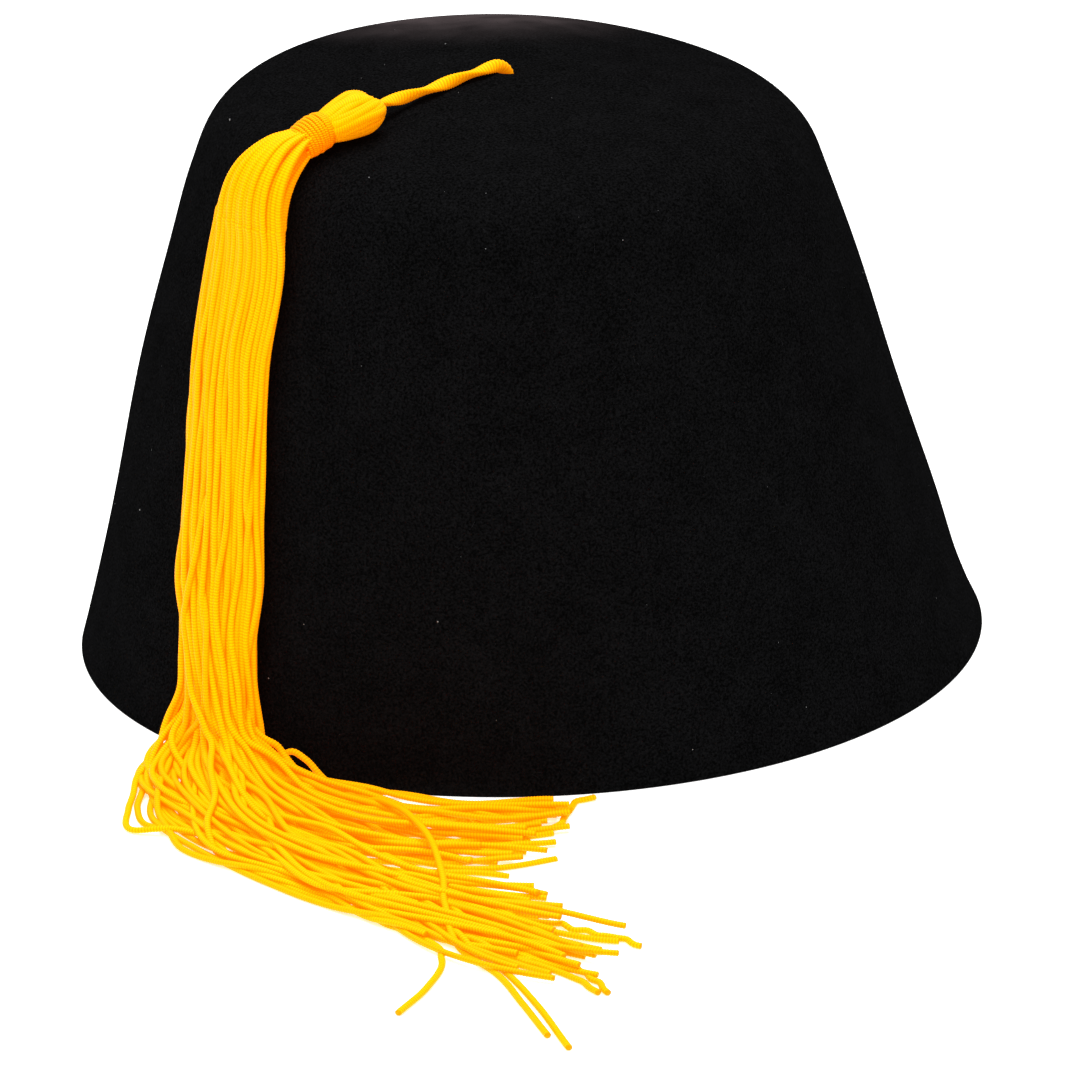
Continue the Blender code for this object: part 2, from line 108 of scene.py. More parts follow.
def smooth_curve(knots: Array, rows: Array, at: Array) -> Array:
    """Reads a curve that runs smoothly through its rows.

    A cubic Hermite curve, whose slope at each knot is the mean of its two chords' slopes, each weighted by
    the other chord's length.

    Args:
        knots: rising place of each row.
        rows: one row of values for each knot.
        at: places to read.

    Returns:
        One row for each place.
    """
    step = np.diff(knots)[:, None]
    slope = np.diff(rows, axis=0) / step
    inner = (slope[:-1] * step[1:] + slope[1:] * step[:-1]) / (step[:-1] + step[1:])
    tangent = np.vstack([slope[:1], inner, slope[-1:]])
    piece = np.clip(np.searchsorted(knots, at) - 1, 0, len(step) - 1)
    span = step[piece]
    share = (at[:, None] - knots[piece][:, None]) / span
    rest = 1 - share
    ends = rows[piece] * (1 + 2 * share) * rest**2 + rows[piece + 1] * (1 + 2 * rest) * share**2
    return ends + span * (tangent[piece] * share * rest**2 - tangent[piece + 1] * rest * share**2)


def lengths_along(points: Array) -> Array:
    """Distance of each point along its line, from 0."""
    return np.concatenate([[0], np.cumsum(np.linalg.norm(np.diff(points, axis=0), axis=1))])


def wander(rng: np.random.Generator, lines: int, count: int, waves: int) -> Array:
    """Smooth random lines between about -1 and 1.

    Each is a sum of sines with whole and half wave numbers up to the given one, at random phases, whose
    heights fall with the square root of the wave number.

    Args:
        rng: seeded source of the phases.
        lines: how many lines.
        count: points on each.
        waves: the most waves along a line.

    Returns:
        Array of (lines, count).
    """
    number = np.arange(1, 2 * waves + 1) / 2
    height = rng.normal(size=(lines, len(number), 1)) / np.sqrt(number)[:, None]
    phase = rng.uniform(0, 2 * math.pi, size=(lines, len(number), 1))
    place = np.linspace(0, 2 * math.pi, count)
    total = np.sum(height * np.sin(number[:, None] * place + phase), axis=1)
    return total / np.sqrt(np.sum(1 / number))


class Surface(NamedTuple):
    """Points and faces of a mesh, with a UV pair for each face corner and named values for each point."""

    points: Array
    faces: Array
    uv: Array
    values: dict[str, Array]


def grid_surface(points: Array, uv: Array, values: dict[str, Array], caps: bool = False) -> Surface:
    """Joins a grid of points, closed round its second side, into quads.

    Corner (i, j) of the grid is point i * sides + j, and column `sides` is column 0 again, with its own UV.

    Args:
        points: (rows, sides, 3) places.
        uv: (rows, sides + 1, 2) places on the material's pattern.
        values: named (rows, sides) numbers.
        caps: whether the two end rings are filled, each by a fan to its middle.

    Returns:
        The surface.
    """
    rows, sides = points.shape[:2]
    low, side = np.meshgrid(np.arange(rows - 1), np.arange(sides), indexing="ij")
    after = (side + 1) % sides
    faces = np.stack([low * sides + side, low * sides + after, (low + 1) * sides + after,
                      (low + 1) * sides + side], -1).reshape(-1, 4)
    corner = np.stack([uv[low, side], uv[low, side + 1], uv[low + 1, side + 1], uv[low + 1, side]], -2)
    flat = points.reshape(-1, 3)
    corners = corner.reshape(-1, 4, 2)
    named = {name: value.reshape(-1) for name, value in values.items()}
    if caps:
        first = np.arange(sides)
        after = (first + 1) % sides
        last = (rows - 1) * sides
        middle = np.full(sides, rows * sides)
        start = np.stack([after, first, middle, middle], -1)
        end = np.stack([last + first, last + after, middle + 1, middle + 1], -1)
        flat = np.vstack([flat, points[0].mean(0), points[-1].mean(0)])
        faces = np.vstack([faces, start, end])
        ends = np.concatenate([np.repeat(uv[0, :sides, None], 4, 1), np.repeat(uv[-1, :sides, None], 4, 1)])
        corners = np.vstack([corners, ends])
        named = {name: np.append(value, [value[0], value[-1]]) for name, value in named.items()}
    return Surface(flat, faces, corners, named)


def joined(parts: list[Surface]) -> Surface:
    """Several surfaces as one."""
    starts = np.cumsum([0] + [len(part.points) for part in parts[:-1]])
    return Surface(
        np.vstack([part.points for part in parts]),
        np.vstack([part.faces + start for part, start in zip(parts, starts)]),
        np.vstack([part.uv for part in parts]),
        {name: np.concatenate([part.values[name] for part in parts]) for name in parts[0].values},
    )


def closed_tubes(rings: Array) -> Surface:
    """Many small tubes or balls: quads between their rings, and a flat end of triangles at each side.

    Args:
        rings: (count, rows, sides, 3) places.

    Returns:
        All of them as one surface.
    """
    rows, sides = rings.shape[1:3]
    cell = np.arange(rings.size // 3).reshape(rings.shape[:3])
    after = np.roll(cell, -1, axis=2)
    first, last = cell[:, 0], cell[:, rows - 1]
    faces = [np.stack([cell[:, :-1], after[:, :-1], after[:, 1:], cell[:, 1:]], -1).reshape(-1, 4)]
    for side in range(1, sides - 1):
        faces.append(last[:, [0, side, side + 1, side + 1]])
        faces.append(first[:, [0, side + 1, side, side]])
    joint = np.vstack(faces)
    return Surface(rings.reshape(-1, 3), joint, np.zeros((*joint.shape, 2)), {})


def mesh_object(name: str, surface: Surface) -> bpy.types.Object:
    """Makes a smooth shaded object of a surface, at the origin, unturned and unscaled.

    A face whose last two corners are one point becomes a triangle.

    Args:
        name: the piece's name.
        surface: its points, faces, UVs and values.

    Returns:
        The object, linked to the scene.
    """
    mesh = bpy.data.meshes.new(name)
    triangle = surface.faces[:, 2] == surface.faces[:, 3]
    keep = np.ones(surface.faces.shape, bool)
    keep[triangle, 3] = False
    sizes = keep.sum(1)
    mesh.vertices.add(len(surface.points))
    mesh.vertices.foreach_set("co", surface.points.astype(np.float32).ravel())
    mesh.loops.add(int(sizes.sum()))
    mesh.loops.foreach_set("vertex_index", surface.faces[keep].astype(np.int32))
    mesh.polygons.add(len(sizes))
    mesh.polygons.foreach_set("loop_start", np.concatenate([[0], np.cumsum(sizes)[:-1]]).astype(np.int32))
    mesh.update(calc_edges=True)
    layer = mesh.uv_layers.new(name="UVMap")
    layer.data.foreach_set("uv", surface.uv[keep].astype(np.float32).ravel())
    for key, value in surface.values.items():
        mesh.attributes.new(key, "FLOAT", "POINT").data.foreach_set("value", value.astype(np.float32))
    mesh.validate()
    mesh.shade_smooth()
    made = bpy.data.objects.new(name, mesh)
    bpy.context.scene.collection.objects.link(made)
    return made


def dressed(tree: bpy.types.NodeTree, node: Any, settings: dict[Any, Any], links: dict[Any, Any]) -> Any:
    """Sets a node's attributes and input values, and links its inputs.

    Args:
        tree: the node tree.
        node: the node.
        settings: attributes of the node, or with a name or number of a socket its value.
        links: for an input's name or number, the output socket that feeds it.

    Returns:
        The node.
    """
    for key, value in settings.items():
        if isinstance(key, str) and hasattr(node, key):
            setattr(node, key, value)
        else:
            node.inputs[key].default_value = value
    for key, source in links.items():
        tree.links.new(source, node.inputs[key])
    return node


def add_node(tree: bpy.types.NodeTree, kind: str, settings: dict[Any, Any], links: dict[Any, Any]) -> Any:
    """Adds a node of a kind, with its settings and links."""
    return dressed(tree, tree.nodes.new(kind), settings, links)


def new_material(name: str) -> tuple[bpy.types.Material, bpy.types.NodeTree, Any]:
    """Starts a material, and gives it with its node tree and its shader."""
    made = bpy.data.materials.new(name)
    made.use_nodes = True
    return made, made.node_tree, made.node_tree.nodes["Principled BSDF"]


@dataclass(frozen=True)
class WoolFelt:
    """Pressed wool felt, blocked over a wooden form and lightly brushed, dyed black.

    It has no gloss at all. Short fibres catch a little light where the eye grazes them, so the top and the
    outline look greyer than the wall, and they give it a fine, even mottle. A warm grey patch at the back of
    the top is a painted sheen for more of that grazing light.
    """

    wool: str = "040404"
    bloom: str = "131314"
    # painted sheen: a warm grey that lightens the back of the top, where it catches grazing light
    painted_sheen: str = "3C3536"
    fibre_mm: float = 0.50
    fibre_low: float = 0.38  # noise value at which a fibre starts to show
    fibre_high: float = 0.66  # noise value at which it shows fully
    mottle_mm: float = 9.0
    mottle_depth: float = 0.15
    # where, how far and how strongly the painted sheen lightens the top
    painted_sheen_place: tuple[float, float, float] = (0.000, 0.058, 0.124)
    painted_sheen_reach: float = 0.046
    painted_sheen_strength: float = 2.4
    sheen: float = 0.0015
    bump: float = 0.8
    bump_mm: float = 0.3

    def material(self) -> bpy.types.Material:
        """Builds the material.

        Fibre scale noise and a coarser mottle choose between the wool and its pale bloom, and a soft ball
        round one place at the back of the top is lightened to a warm grey, a painted sheen. The same fibre
        noise raises the bump.
        """
        made, tree, shader = new_material("black_wool_felt")
        place = add_node(tree, "ShaderNodeTexCoord", {}, {}).outputs["Object"]
        fibre = add_node(tree, "ShaderNodeTexNoise",
                         {"Scale": 1 / (self.fibre_mm * MM), "Detail": 4.0, "Roughness": 0.65},
                         {"Vector": place})
        mottle = add_node(tree, "ShaderNodeTexNoise", {"Scale": 1 / (self.mottle_mm * MM), "Detail": 3.0},
                          {"Vector": place})
        soft = add_node(tree, "ShaderNodeMapRange",
                        {"To Min": 1 - self.mottle_depth, "To Max": 1 + self.mottle_depth},
                        {0: mottle.outputs["Fac"]})
        both = add_node(tree, "ShaderNodeMath", {"operation": "MULTIPLY"},
                        {0: fibre.outputs["Fac"], 1: soft.outputs[0]})
        spread = add_node(tree, "ShaderNodeMapRange",
                          {"From Min": self.fibre_low, "From Max": self.fibre_high}, {0: both.outputs[0]})
        wool = add_node(tree, "ShaderNodeMix",
                        {"data_type": "RGBA", 6: linear(self.wool), 7: linear(self.bloom)},
                        {0: spread.outputs[0]})
        # painted sheen: a soft ball round one place at the back of the top, mixed in as warm grey
        off = add_node(tree, "ShaderNodeVectorMath", {"operation": "DISTANCE", 1: self.painted_sheen_place},
                       {0: place})
        near = add_node(tree, "ShaderNodeMapRange",
                        {"interpolation_type": "SMOOTHSTEP", "From Min": 0.0, "From Max": self.painted_sheen_reach,
                         "To Min": self.painted_sheen_strength, "To Max": 0.0}, {0: off.outputs["Value"]})
        painted_sheen_mask = add_node(tree, "ShaderNodeMath", {"operation": "MULTIPLY"},
                          {0: near.outputs[0], 1: mottle.outputs["Fac"]})
        colour = add_node(tree, "ShaderNodeMix", {"data_type": "RGBA", 7: linear(self.painted_sheen)},
                          {0: painted_sheen_mask.outputs[0], 6: wool.outputs[2]})
        bump = add_node(tree, "ShaderNodeBump", {"Strength": self.bump, "Distance": self.bump_mm * MM},
                        {"Height": fibre.outputs["Fac"]})
        dressed(tree, shader, {"Roughness": 1.0, "IOR": 1.45, "Specular IOR Level": 0.0,
                               "Sheen Weight": self.sheen, "Sheen Roughness": 0.45},
                {"Base Color": colour.outputs[2], "Normal": bump.outputs["Normal"]})
        return made


@dataclass(frozen=True)
class Chainette:
    """Rayon chainette: a fine hollow cord knitted of bright rayon, dyed golden yellow.

    Each stitch makes a small rib across the strand, with the soft shine of rayon. The colour is pale on a
    rib's crown and a deep orange between two ribs, a painted groove shade. A painted glow of warm orange
    lifts even its shade, standing in for the light that bounces between the strands and passes into the thin
    rayon.
    """

    name: str = "gold_rayon_chainette"
    crown: str = "FFC800"
    # painted groove shade: the deep orange between two ribs
    painted_groove_shade: str = "FF9A00"
    deep_shade: str = "FFB800"
    shine: str = "FFD23C"
    # painted glow: warm orange emission that lifts the strands' shade, standing in for light bouncing
    # between strands and passing into the thin rayon
    painted_glow: str = "FF7A00"
    painted_glow_strength: float = 0.48
    filament_mm: float = 0.16
    filament_draw: float = 0.3  # noise along the strand, as a share of the noise across it
    roughness: float = 0.58
    bump: float = 0.35
    bump_mm: float = 0.05

    def material(self) -> bpy.types.Material:
        """Builds the material.

        The point value "rib" (1 on a rib's crown, 0 between ribs) mixes in the painted groove shade, each
        strand's own "tone" chooses the gold, and a painted glow of warm orange emission lifts the shade.
        Noise drawn out along the strand raises fine filaments.
        """
        made, tree, shader = new_material(self.name)
        rib = add_node(tree, "ShaderNodeAttribute", {"attribute_name": "rib"}, {})
        tone = add_node(tree, "ShaderNodeAttribute", {"attribute_name": "tone"}, {})
        high = add_node(tree, "ShaderNodeMix",
                        {"data_type": "RGBA", 6: linear(self.deep_shade), 7: linear(self.crown)},
                        {0: tone.outputs["Fac"]})
        # the rib value mixes in the painted groove shade
        colour = add_node(tree, "ShaderNodeMix", {"data_type": "RGBA", 6: linear(self.painted_groove_shade)},
                          {0: rib.outputs["Fac"], 7: high.outputs[2]})
        lay = add_node(tree, "ShaderNodeTexCoord", {}, {}).outputs["UV"]
        drawn = add_node(tree, "ShaderNodeMapping", {"Scale": (1.0, self.filament_draw, 1.0)},
                         {"Vector": lay})
        noise = add_node(tree, "ShaderNodeTexNoise", {"Scale": 1 / self.filament_mm, "Detail": 2.0},
                         {"Vector": drawn.outputs[0]})
        bump = add_node(tree, "ShaderNodeBump", {"Strength": self.bump, "Distance": self.bump_mm * MM},
                        {"Height": noise.outputs["Fac"]})
        # the emission is the painted glow
        dressed(tree, shader, {"Roughness": self.roughness, "IOR": 1.52, "Specular IOR Level": 0.14,
                               "Specular Tint": linear(self.shine), "Emission Color": linear(self.painted_glow),
                               "Emission Strength": self.painted_glow_strength},
                {"Base Color": colour.outputs[2], "Normal": bump.outputs["Normal"]})
        return made


@dataclass(frozen=True)
class Clouded:
    """A dull material with a soft cloud of a second colour in it.

    As clipped wool or cotton dust it is matt lint that clings to felt. As the table it is smooth white
    laminate, lit from within like a photographer's table, so its shadows stay faint.
    """

    name: str
    low: str
    high: str
    scale: float  # waves of the cloud in a metre
    roughness: float
    specular: float
    glow: float = 0.0

    def material(self) -> bpy.types.Material:
        """Builds the material: noise mixes the two colours, and the glow is white light of its own."""
        made, tree, shader = new_material(self.name)
        place = add_node(tree, "ShaderNodeTexCoord", {}, {}).outputs["Object"]
        noise = add_node(tree, "ShaderNodeTexNoise", {"Scale": self.scale}, {"Vector": place})
        colour = add_node(tree, "ShaderNodeMix",
                          {"data_type": "RGBA", 6: linear(self.low), 7: linear(self.high)},
                          {0: noise.outputs["Fac"]})
        dressed(tree, shader, {"Roughness": self.roughness, "Specular IOR Level": self.specular,
                               "Emission Color": linear("FFFFFF"), "Emission Strength": self.glow},
                {"Base Color": colour.outputs[2]})
        return made


def finish_piece(piece: bpy.types.Object, slot: Slot, material: bpy.types.Material, *nodes: str) -> None:
    """Gives a piece its material and its body, and hides the CAD nodes that it stands for.

    Args:
        piece: the finished object.
        slot: the record's material slot; not used.
        material: its material.
        nodes: CAD nodes that it replaces.
    """
    piece.data.materials.clear()
    piece.data.materials.append(material)
    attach(piece, BODY)
    if nodes:
        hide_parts(*nodes)
    log.info("%s: %d faces", piece.name, len(piece.data.polygons))


class Swell(NamedTuple):
    """A soft rise or hollow that hand blocking leaves in the felt."""

    bearing: float  # degrees
    height: float  # mm above the rim
    rise: float  # mm outwards
    wide: float  # degrees
    tall: float  # mm


@dataclass
class HatForm:
    """The blocked form: a leaning oval crown with a straight wall, a round shoulder and a shallow dome."""

    rim_radius: float = 0.094
    top_radius: float = 0.064
    height: float = 0.130
    dome_rise: float = 0.0075
    shoulder_radius: float = 0.018
    head_oval: float = 0.075
    lean: float = 0.0075
    hole_forward: float = 0.0016
    hole_fade: float = 8
    mouth_radius: float = 0.0044
    tassel_bearing: float = -152.0
    swells: tuple[Swell, ...] = (
        Swell(165, 66, 1.5, 38, 28),
        Swell(165, 114, -0.9, 34, 7),
        Swell(120, 125, 0.5, 34, 5),
        Swell(80, 129, 1.35, 34, 4),
        Swell(-15, 88, 1.0, 38, 24),
        Swell(-15, 13, -0.8, 34, 12),
        Swell(15, 122, -0.6, 34, 6),
        Swell(25, 127, -0.9, 24, 3),
        Swell(-100, 45, 0.25, 30, 30),
        Swell(70, 60, -0.4, 35, 30),
        Swell(115, 90, 0.3, 25, 22),
    )

    @cached_property
    def corner(self) -> float:
        """Height at which the wall's line meets the dome's edge."""
        return self.height - self.dome_rise

    @cached_property
    def dome_radius(self) -> float:
        """Radius of the dome's arc."""
        return (self.top_radius**2 + self.dome_rise**2) / (2 * self.dome_rise)

    @cached_property
    def dome_centre(self) -> Array:
        """Centre of the dome's arc, as (radius, height)."""
        return np.array([0.0, self.height - self.dome_radius])

    @cached_property
    def foot(self) -> Array:
        """Outer edge of the rim."""
        return np.array([self.rim_radius, 0.0])

    @cached_property
    def up(self) -> Array:
        """Unit direction up the wall."""
        return unit(np.array([self.top_radius - self.rim_radius, self.corner]))

    @cached_property
    def out(self) -> Array:
        """Unit direction out of the wall."""
        return np.array([self.up[1], -self.up[0]])

    @cached_property
    def wall_length(self) -> float:
        """Length of straight wall below the shoulder's arc, which touches the wall and the dome."""
        offset = self.foot - self.out * self.shoulder_radius - self.dome_centre
        along = float(offset @ self.up)
        room = (self.dome_radius - self.shoulder_radius) ** 2 - float(offset @ offset)
        return math.sqrt(along**2 + room) - along

    @cached_property
    def shoulder_centre(self) -> Array:
        """Centre of the shoulder's arc."""
        return self.foot - self.out * self.shoulder_radius + self.up * self.wall_length

    @cached_property
    def wall_angle(self) -> float:
        """Angle of the wall's outward direction."""
        return math.atan2(self.out[1], self.out[0])

    @cached_property
    def dome_angle(self) -> float:
        """Angle at which the shoulder meets the dome."""
        offset = self.shoulder_centre - self.dome_centre
        return math.atan2(offset[1], offset[0])

    @cached_property
    def shoulder_top(self) -> float:
        """Reach up the felt at the shoulder's upper end."""
        return self.wall_length + self.shoulder_radius * (self.dome_angle - self.wall_angle)

    @cached_property
    def apex(self) -> float:
        """Reach up the felt at the middle of the top."""
        return self.shoulder_top + self.dome_radius * (math.pi / 2 - self.dome_angle)

    def placed(self, line: Array, bearing: Array) -> Array:
        """Puts a line of the form round the leaning oval.

        Lengthwise the radius grows and sideways it shrinks by the oval's share, which fades out to the
        corner. Everything leans back with height, and the top moves forward towards the cord's hole.

        Args:
            line: (..., 2) radius and height.
            bearing: radians.

        Returns:
            (..., 3) places.
        """
        radius, height = line[..., 0], line[..., 1]
        oval = self.head_oval * np.clip(1 - height / self.corner, 0, 1)
        forward = np.clip((self.top_radius - radius) / (self.top_radius - self.mouth_radius), 0, 1)
        forward = self.hole_forward * forward * np.clip(height / self.corner, 0, 1) ** self.hole_fade
        across = radius * (1 - oval) * np.sin(bearing)
        along = radius * (1 + oval) * np.cos(bearing) - self.lean * height / self.height + forward
        return np.stack([along, across, height + 0 * bearing], -1)

    def unrolled(self, points: Array) -> tuple[Array, Array]:
        """The (radius, height) and the bearing of places near the wall, the other way round from placed."""
        height = points[..., 2]
        oval = self.head_oval * np.clip(1 - height / self.corner, 0, 1)
        along = (points[..., 0] + self.lean * height / self.height) / (1 + oval)
        across = points[..., 1] / (1 - oval)
        return np.stack([np.hypot(along, across), height], -1), np.arctan2(across, along)

    def swell(self, bearing: Array, height: Array) -> Array:
        """Rise of the felt in metres: a sum of bell curves over bearing (radians) and height."""
        total = np.zeros(np.broadcast(bearing, height).shape)
        for bell in self.swells:
            turn = np.degrees(bearing) - bell.bearing
            turn = (turn + 180) % 360 - 180
            away = (turn / bell.wide) ** 2 + ((height / MM - bell.height) / bell.tall) ** 2
            total += bell.rise * np.exp(-away)
        return total * MM

    def drape_line(self, reach: Array, bow: Array) -> tuple[Array, Array]:
        """Line that a draped strand follows over the form and out on the surface.

        A positive reach is the distance up the felt from the rim's foot, a negative one the distance out on
        the surface. Near the foot the line is a hyperbola between the two, the bow away from the corner.

        Args:
            reach: distances.
            bow: length that rounds the corner.

        Returns:
            (..., 2) radius and height, and the unit outward normal there.
        """
        reach = np.asarray(reach, float)[..., None]
        bow = np.asarray(bow, float)[..., None] + 0 * reach
        root = np.sqrt(reach**2 + bow**2)
        outward = np.array([1.0, 0.0])
        low = self.foot + self.up * (root + reach) / 2 + outward * (root - reach) / 2
        along = unit(self.up * (1 + reach / root) - outward * (1 - reach / root))
        low_out = np.stack([along[..., 1], -along[..., 0]], -1)
        shoulder_out = turned(self.wall_angle + (reach[..., 0] - self.wall_length) / self.shoulder_radius)
        dome_out = turned(self.dome_angle + (reach[..., 0] - self.shoulder_top) / self.dome_radius)
        on_shoulder = reach > self.wall_length
        on_dome = reach > self.shoulder_top
        line = np.where(on_shoulder, self.shoulder_centre + self.shoulder_radius * shoulder_out, low)
        line = np.where(on_dome, self.dome_centre + self.dome_radius * dome_out, line)
        out = np.where(on_shoulder, shoulder_out, low_out)
        return line, np.where(on_dome, dome_out, out)

    def draped(self, swing: Array, reach: Array, lift: Array, bow: Array) -> Array:
        """Places on the form or the surface: degrees from the tassel, reach, height off it, and bow."""
        line, out = self.drape_line(reach, bow)
        bearing = np.radians(self.tassel_bearing + np.asarray(swing))
        rise = np.asarray(lift) + self.swell(bearing, line[..., 1])
        return self.placed(line + out * rise[..., None], bearing)

    def evened(self, rows: Array, count: int) -> Array:
        """Reads rows (swing, reach, ...) at even steps along their line on the unrolled form."""
        knots = lengths_along(np.column_stack([np.radians(rows[:, 0]) * self.rim_radius, rows[:, 1]]))
        return smooth_curve(knots, rows, np.linspace(0, knots[-1], count))

    def draped_with_off(self, rows: Array, step: float) -> tuple[Array, Array]:
        """Places of rows (swing, reach, lift, bow), and the way from each to one a step further off."""
        centre = self.draped(*rows[:, :4].T)
        return centre, self.draped(rows[:, 0], rows[:, 1], rows[:, 2] + step, rows[:, 3]) - centre

    def kept_off(self, points: Array, gap: Array) -> Array:
        """Pushes places that lie nearer than a gap out of the felt, along the form's own normal.

        Args:
            points: (..., 3) places.
            gap: least distance for each.

        Returns:
            The places, moved where they had to be.
        """
        line, bearing = self.unrolled(points)
        up_wall = (line - self.foot) @ self.up
        from_shoulder = line - self.shoulder_centre
        from_dome = line - self.dome_centre
        turn = np.arctan2(from_shoulder[..., 1], from_shoulder[..., 0])
        on_wall = (up_wall < self.wall_length)[..., None]
        on_shoulder = (turn < self.dome_angle)[..., None]
        round_out = np.where(on_shoulder, unit(from_shoulder), unit(from_dome))
        out = np.where(on_wall, self.out, round_out)
        wall_off = (line - self.foot) @ self.out
        round_off = np.where(on_shoulder[..., 0],
                             np.linalg.norm(from_shoulder, axis=-1) - self.shoulder_radius,
                             np.linalg.norm(from_dome, axis=-1) - self.dome_radius)
        off = np.where(on_wall[..., 0], wall_off, round_off) - self.swell(bearing, line[..., 1])
        short = np.where(line[..., 1] > 0, np.clip(gap - off, 0, None), 0)
        moved = self.placed(line + out * short[..., None], bearing)
        return np.where(short[..., None] > 0, moved, points)


def ring_frames(path: Array, off: Array) -> tuple[Array, Array, Array]:
    """Unit directions along, sideways and off at each point of a path.

    Along is the path's own slope, off is the given direction made square to it, and sideways is their cross
    product.
    """
    along = unit(np.gradient(path, axis=0))
    off = unit(off - along * np.sum(off * along, axis=1, keepdims=True))
    return along, np.cross(off, along), off


@dataclass(frozen=True)
class Yarn:
    """Build of one ribbed strand."""

    radius: float = 0.00076
    rib: float = 0.00062
    rib_depth: float = 0.12
    slant: float = 0.00010
    sides: int = 6
    flat: float = 0.86

    def tube(self, path: Array, off: Array, scale: Array, tone: float, turn: float = 0.0) -> Surface:
        """Sweeps the ribbed strand along a path.

        Ring j lies half a rib further than ring j - 1 and is by turns thick and thin, so two rings make a
        rib. Each point of a ring is moved along the strand by the slant times the sine of twice its angle,
        which bends the ribs like stitches.

        Args:
            path: (n, 3) places along the strand.
            off: (n, 3) direction off what it lies on.
            scale: (n,) share of the full radius.
            tone: the strand's own shade, from 0 to 1.
            turn: radians by which the strand turns along its whole length.

        Returns:
            The strand's surface, capped at both ends.
        """
        knots = lengths_along(path)
        count = max(4, int(knots[-1] / (self.rib / 2)))
        rows = smooth_curve(knots, np.column_stack([path, off, scale]), np.linspace(0, knots[-1], count))
        centre, size = rows[:, :3], rows[:, 6]
        along, sideways, lifted = ring_frames(centre, rows[:, 3:6])
        crown = (np.arange(count) % 2).astype(float)
        crown[[0, -1]] = 0.0
        swollen = self.radius * size * (1 - self.rib_depth * (1 - crown))
        angle = circle(self.sides) + np.linspace(0, turn, count)[:, None]
        ring = spun(angle, sideways[:, None], self.flat * lifted[:, None])
        slant = self.slant * np.sin(2 * angle)[..., None] * along[:, None]
        slant[[0, -1]] = 0.0
        points = centre[:, None] + swollen[:, None, None] * ring + slant
        across = np.linspace(0, 2 * math.pi * self.radius / MM, self.sides + 1)
        down = np.linspace(0, knots[-1] / MM, count)
        uv = np.stack(np.broadcast_arrays(across[None], down[:, None]), -1)
        # rib: 1 on a crown and 0 between ribs, where the material paints the groove shade
        rib = np.repeat(crown[:, None], self.sides, 1)
        return grid_surface(points, uv, {"rib": rib, "tone": np.full(rib.shape, tone)}, caps=True)


class SkirtStation(NamedTuple):
    """One section of the skirt on the wall."""

    fall: float  # height up the wall, as a share of the neck's
    swing: float  # degrees round the crown from the tassel's bearing
    spread: float  # share of the skirt's width
    depth: float  # share of the skirt's depth


class Lock(NamedTuple):
    """One lock of strands: its place in the skirt, then three places on the surface."""

    lane: float  # place across the skirt, from -1 at its left edge to 1 at its right
    layer: float  # 0 on the felt, 1 outermost
    turn: float  # degrees from the tassel's bearing, and the reach out from the rim as a share of the fan's
    turn_out: float
    sweep: float
    sweep_out: float
    tip: float
    tip_out: float
    heap: float  # height in the heap, as a share of its depth


class Laid(NamedTuple):
    """One section of every lock on the surface: at its turn, its sweep or its tip."""

    width: float  # share of a lock's width
    heap: float  # share of the lock's own height in the heap
    bow: float  # share of the foot's bow


class Stray(NamedTuple):
    """A single strand that leaves the others.

    Each row has the degrees from the tassel, the way out as a share of the fan's reach, and the lift in mm.
    """

    bow: float  # share of the foot's bow
    rows: tuple[tuple[float, float, float], ...]


class Section(NamedTuple):
    """One section of the tassel's head."""

    along: float  # share of the head's length, from the cord
    girth: float  # share of the head's width and depth


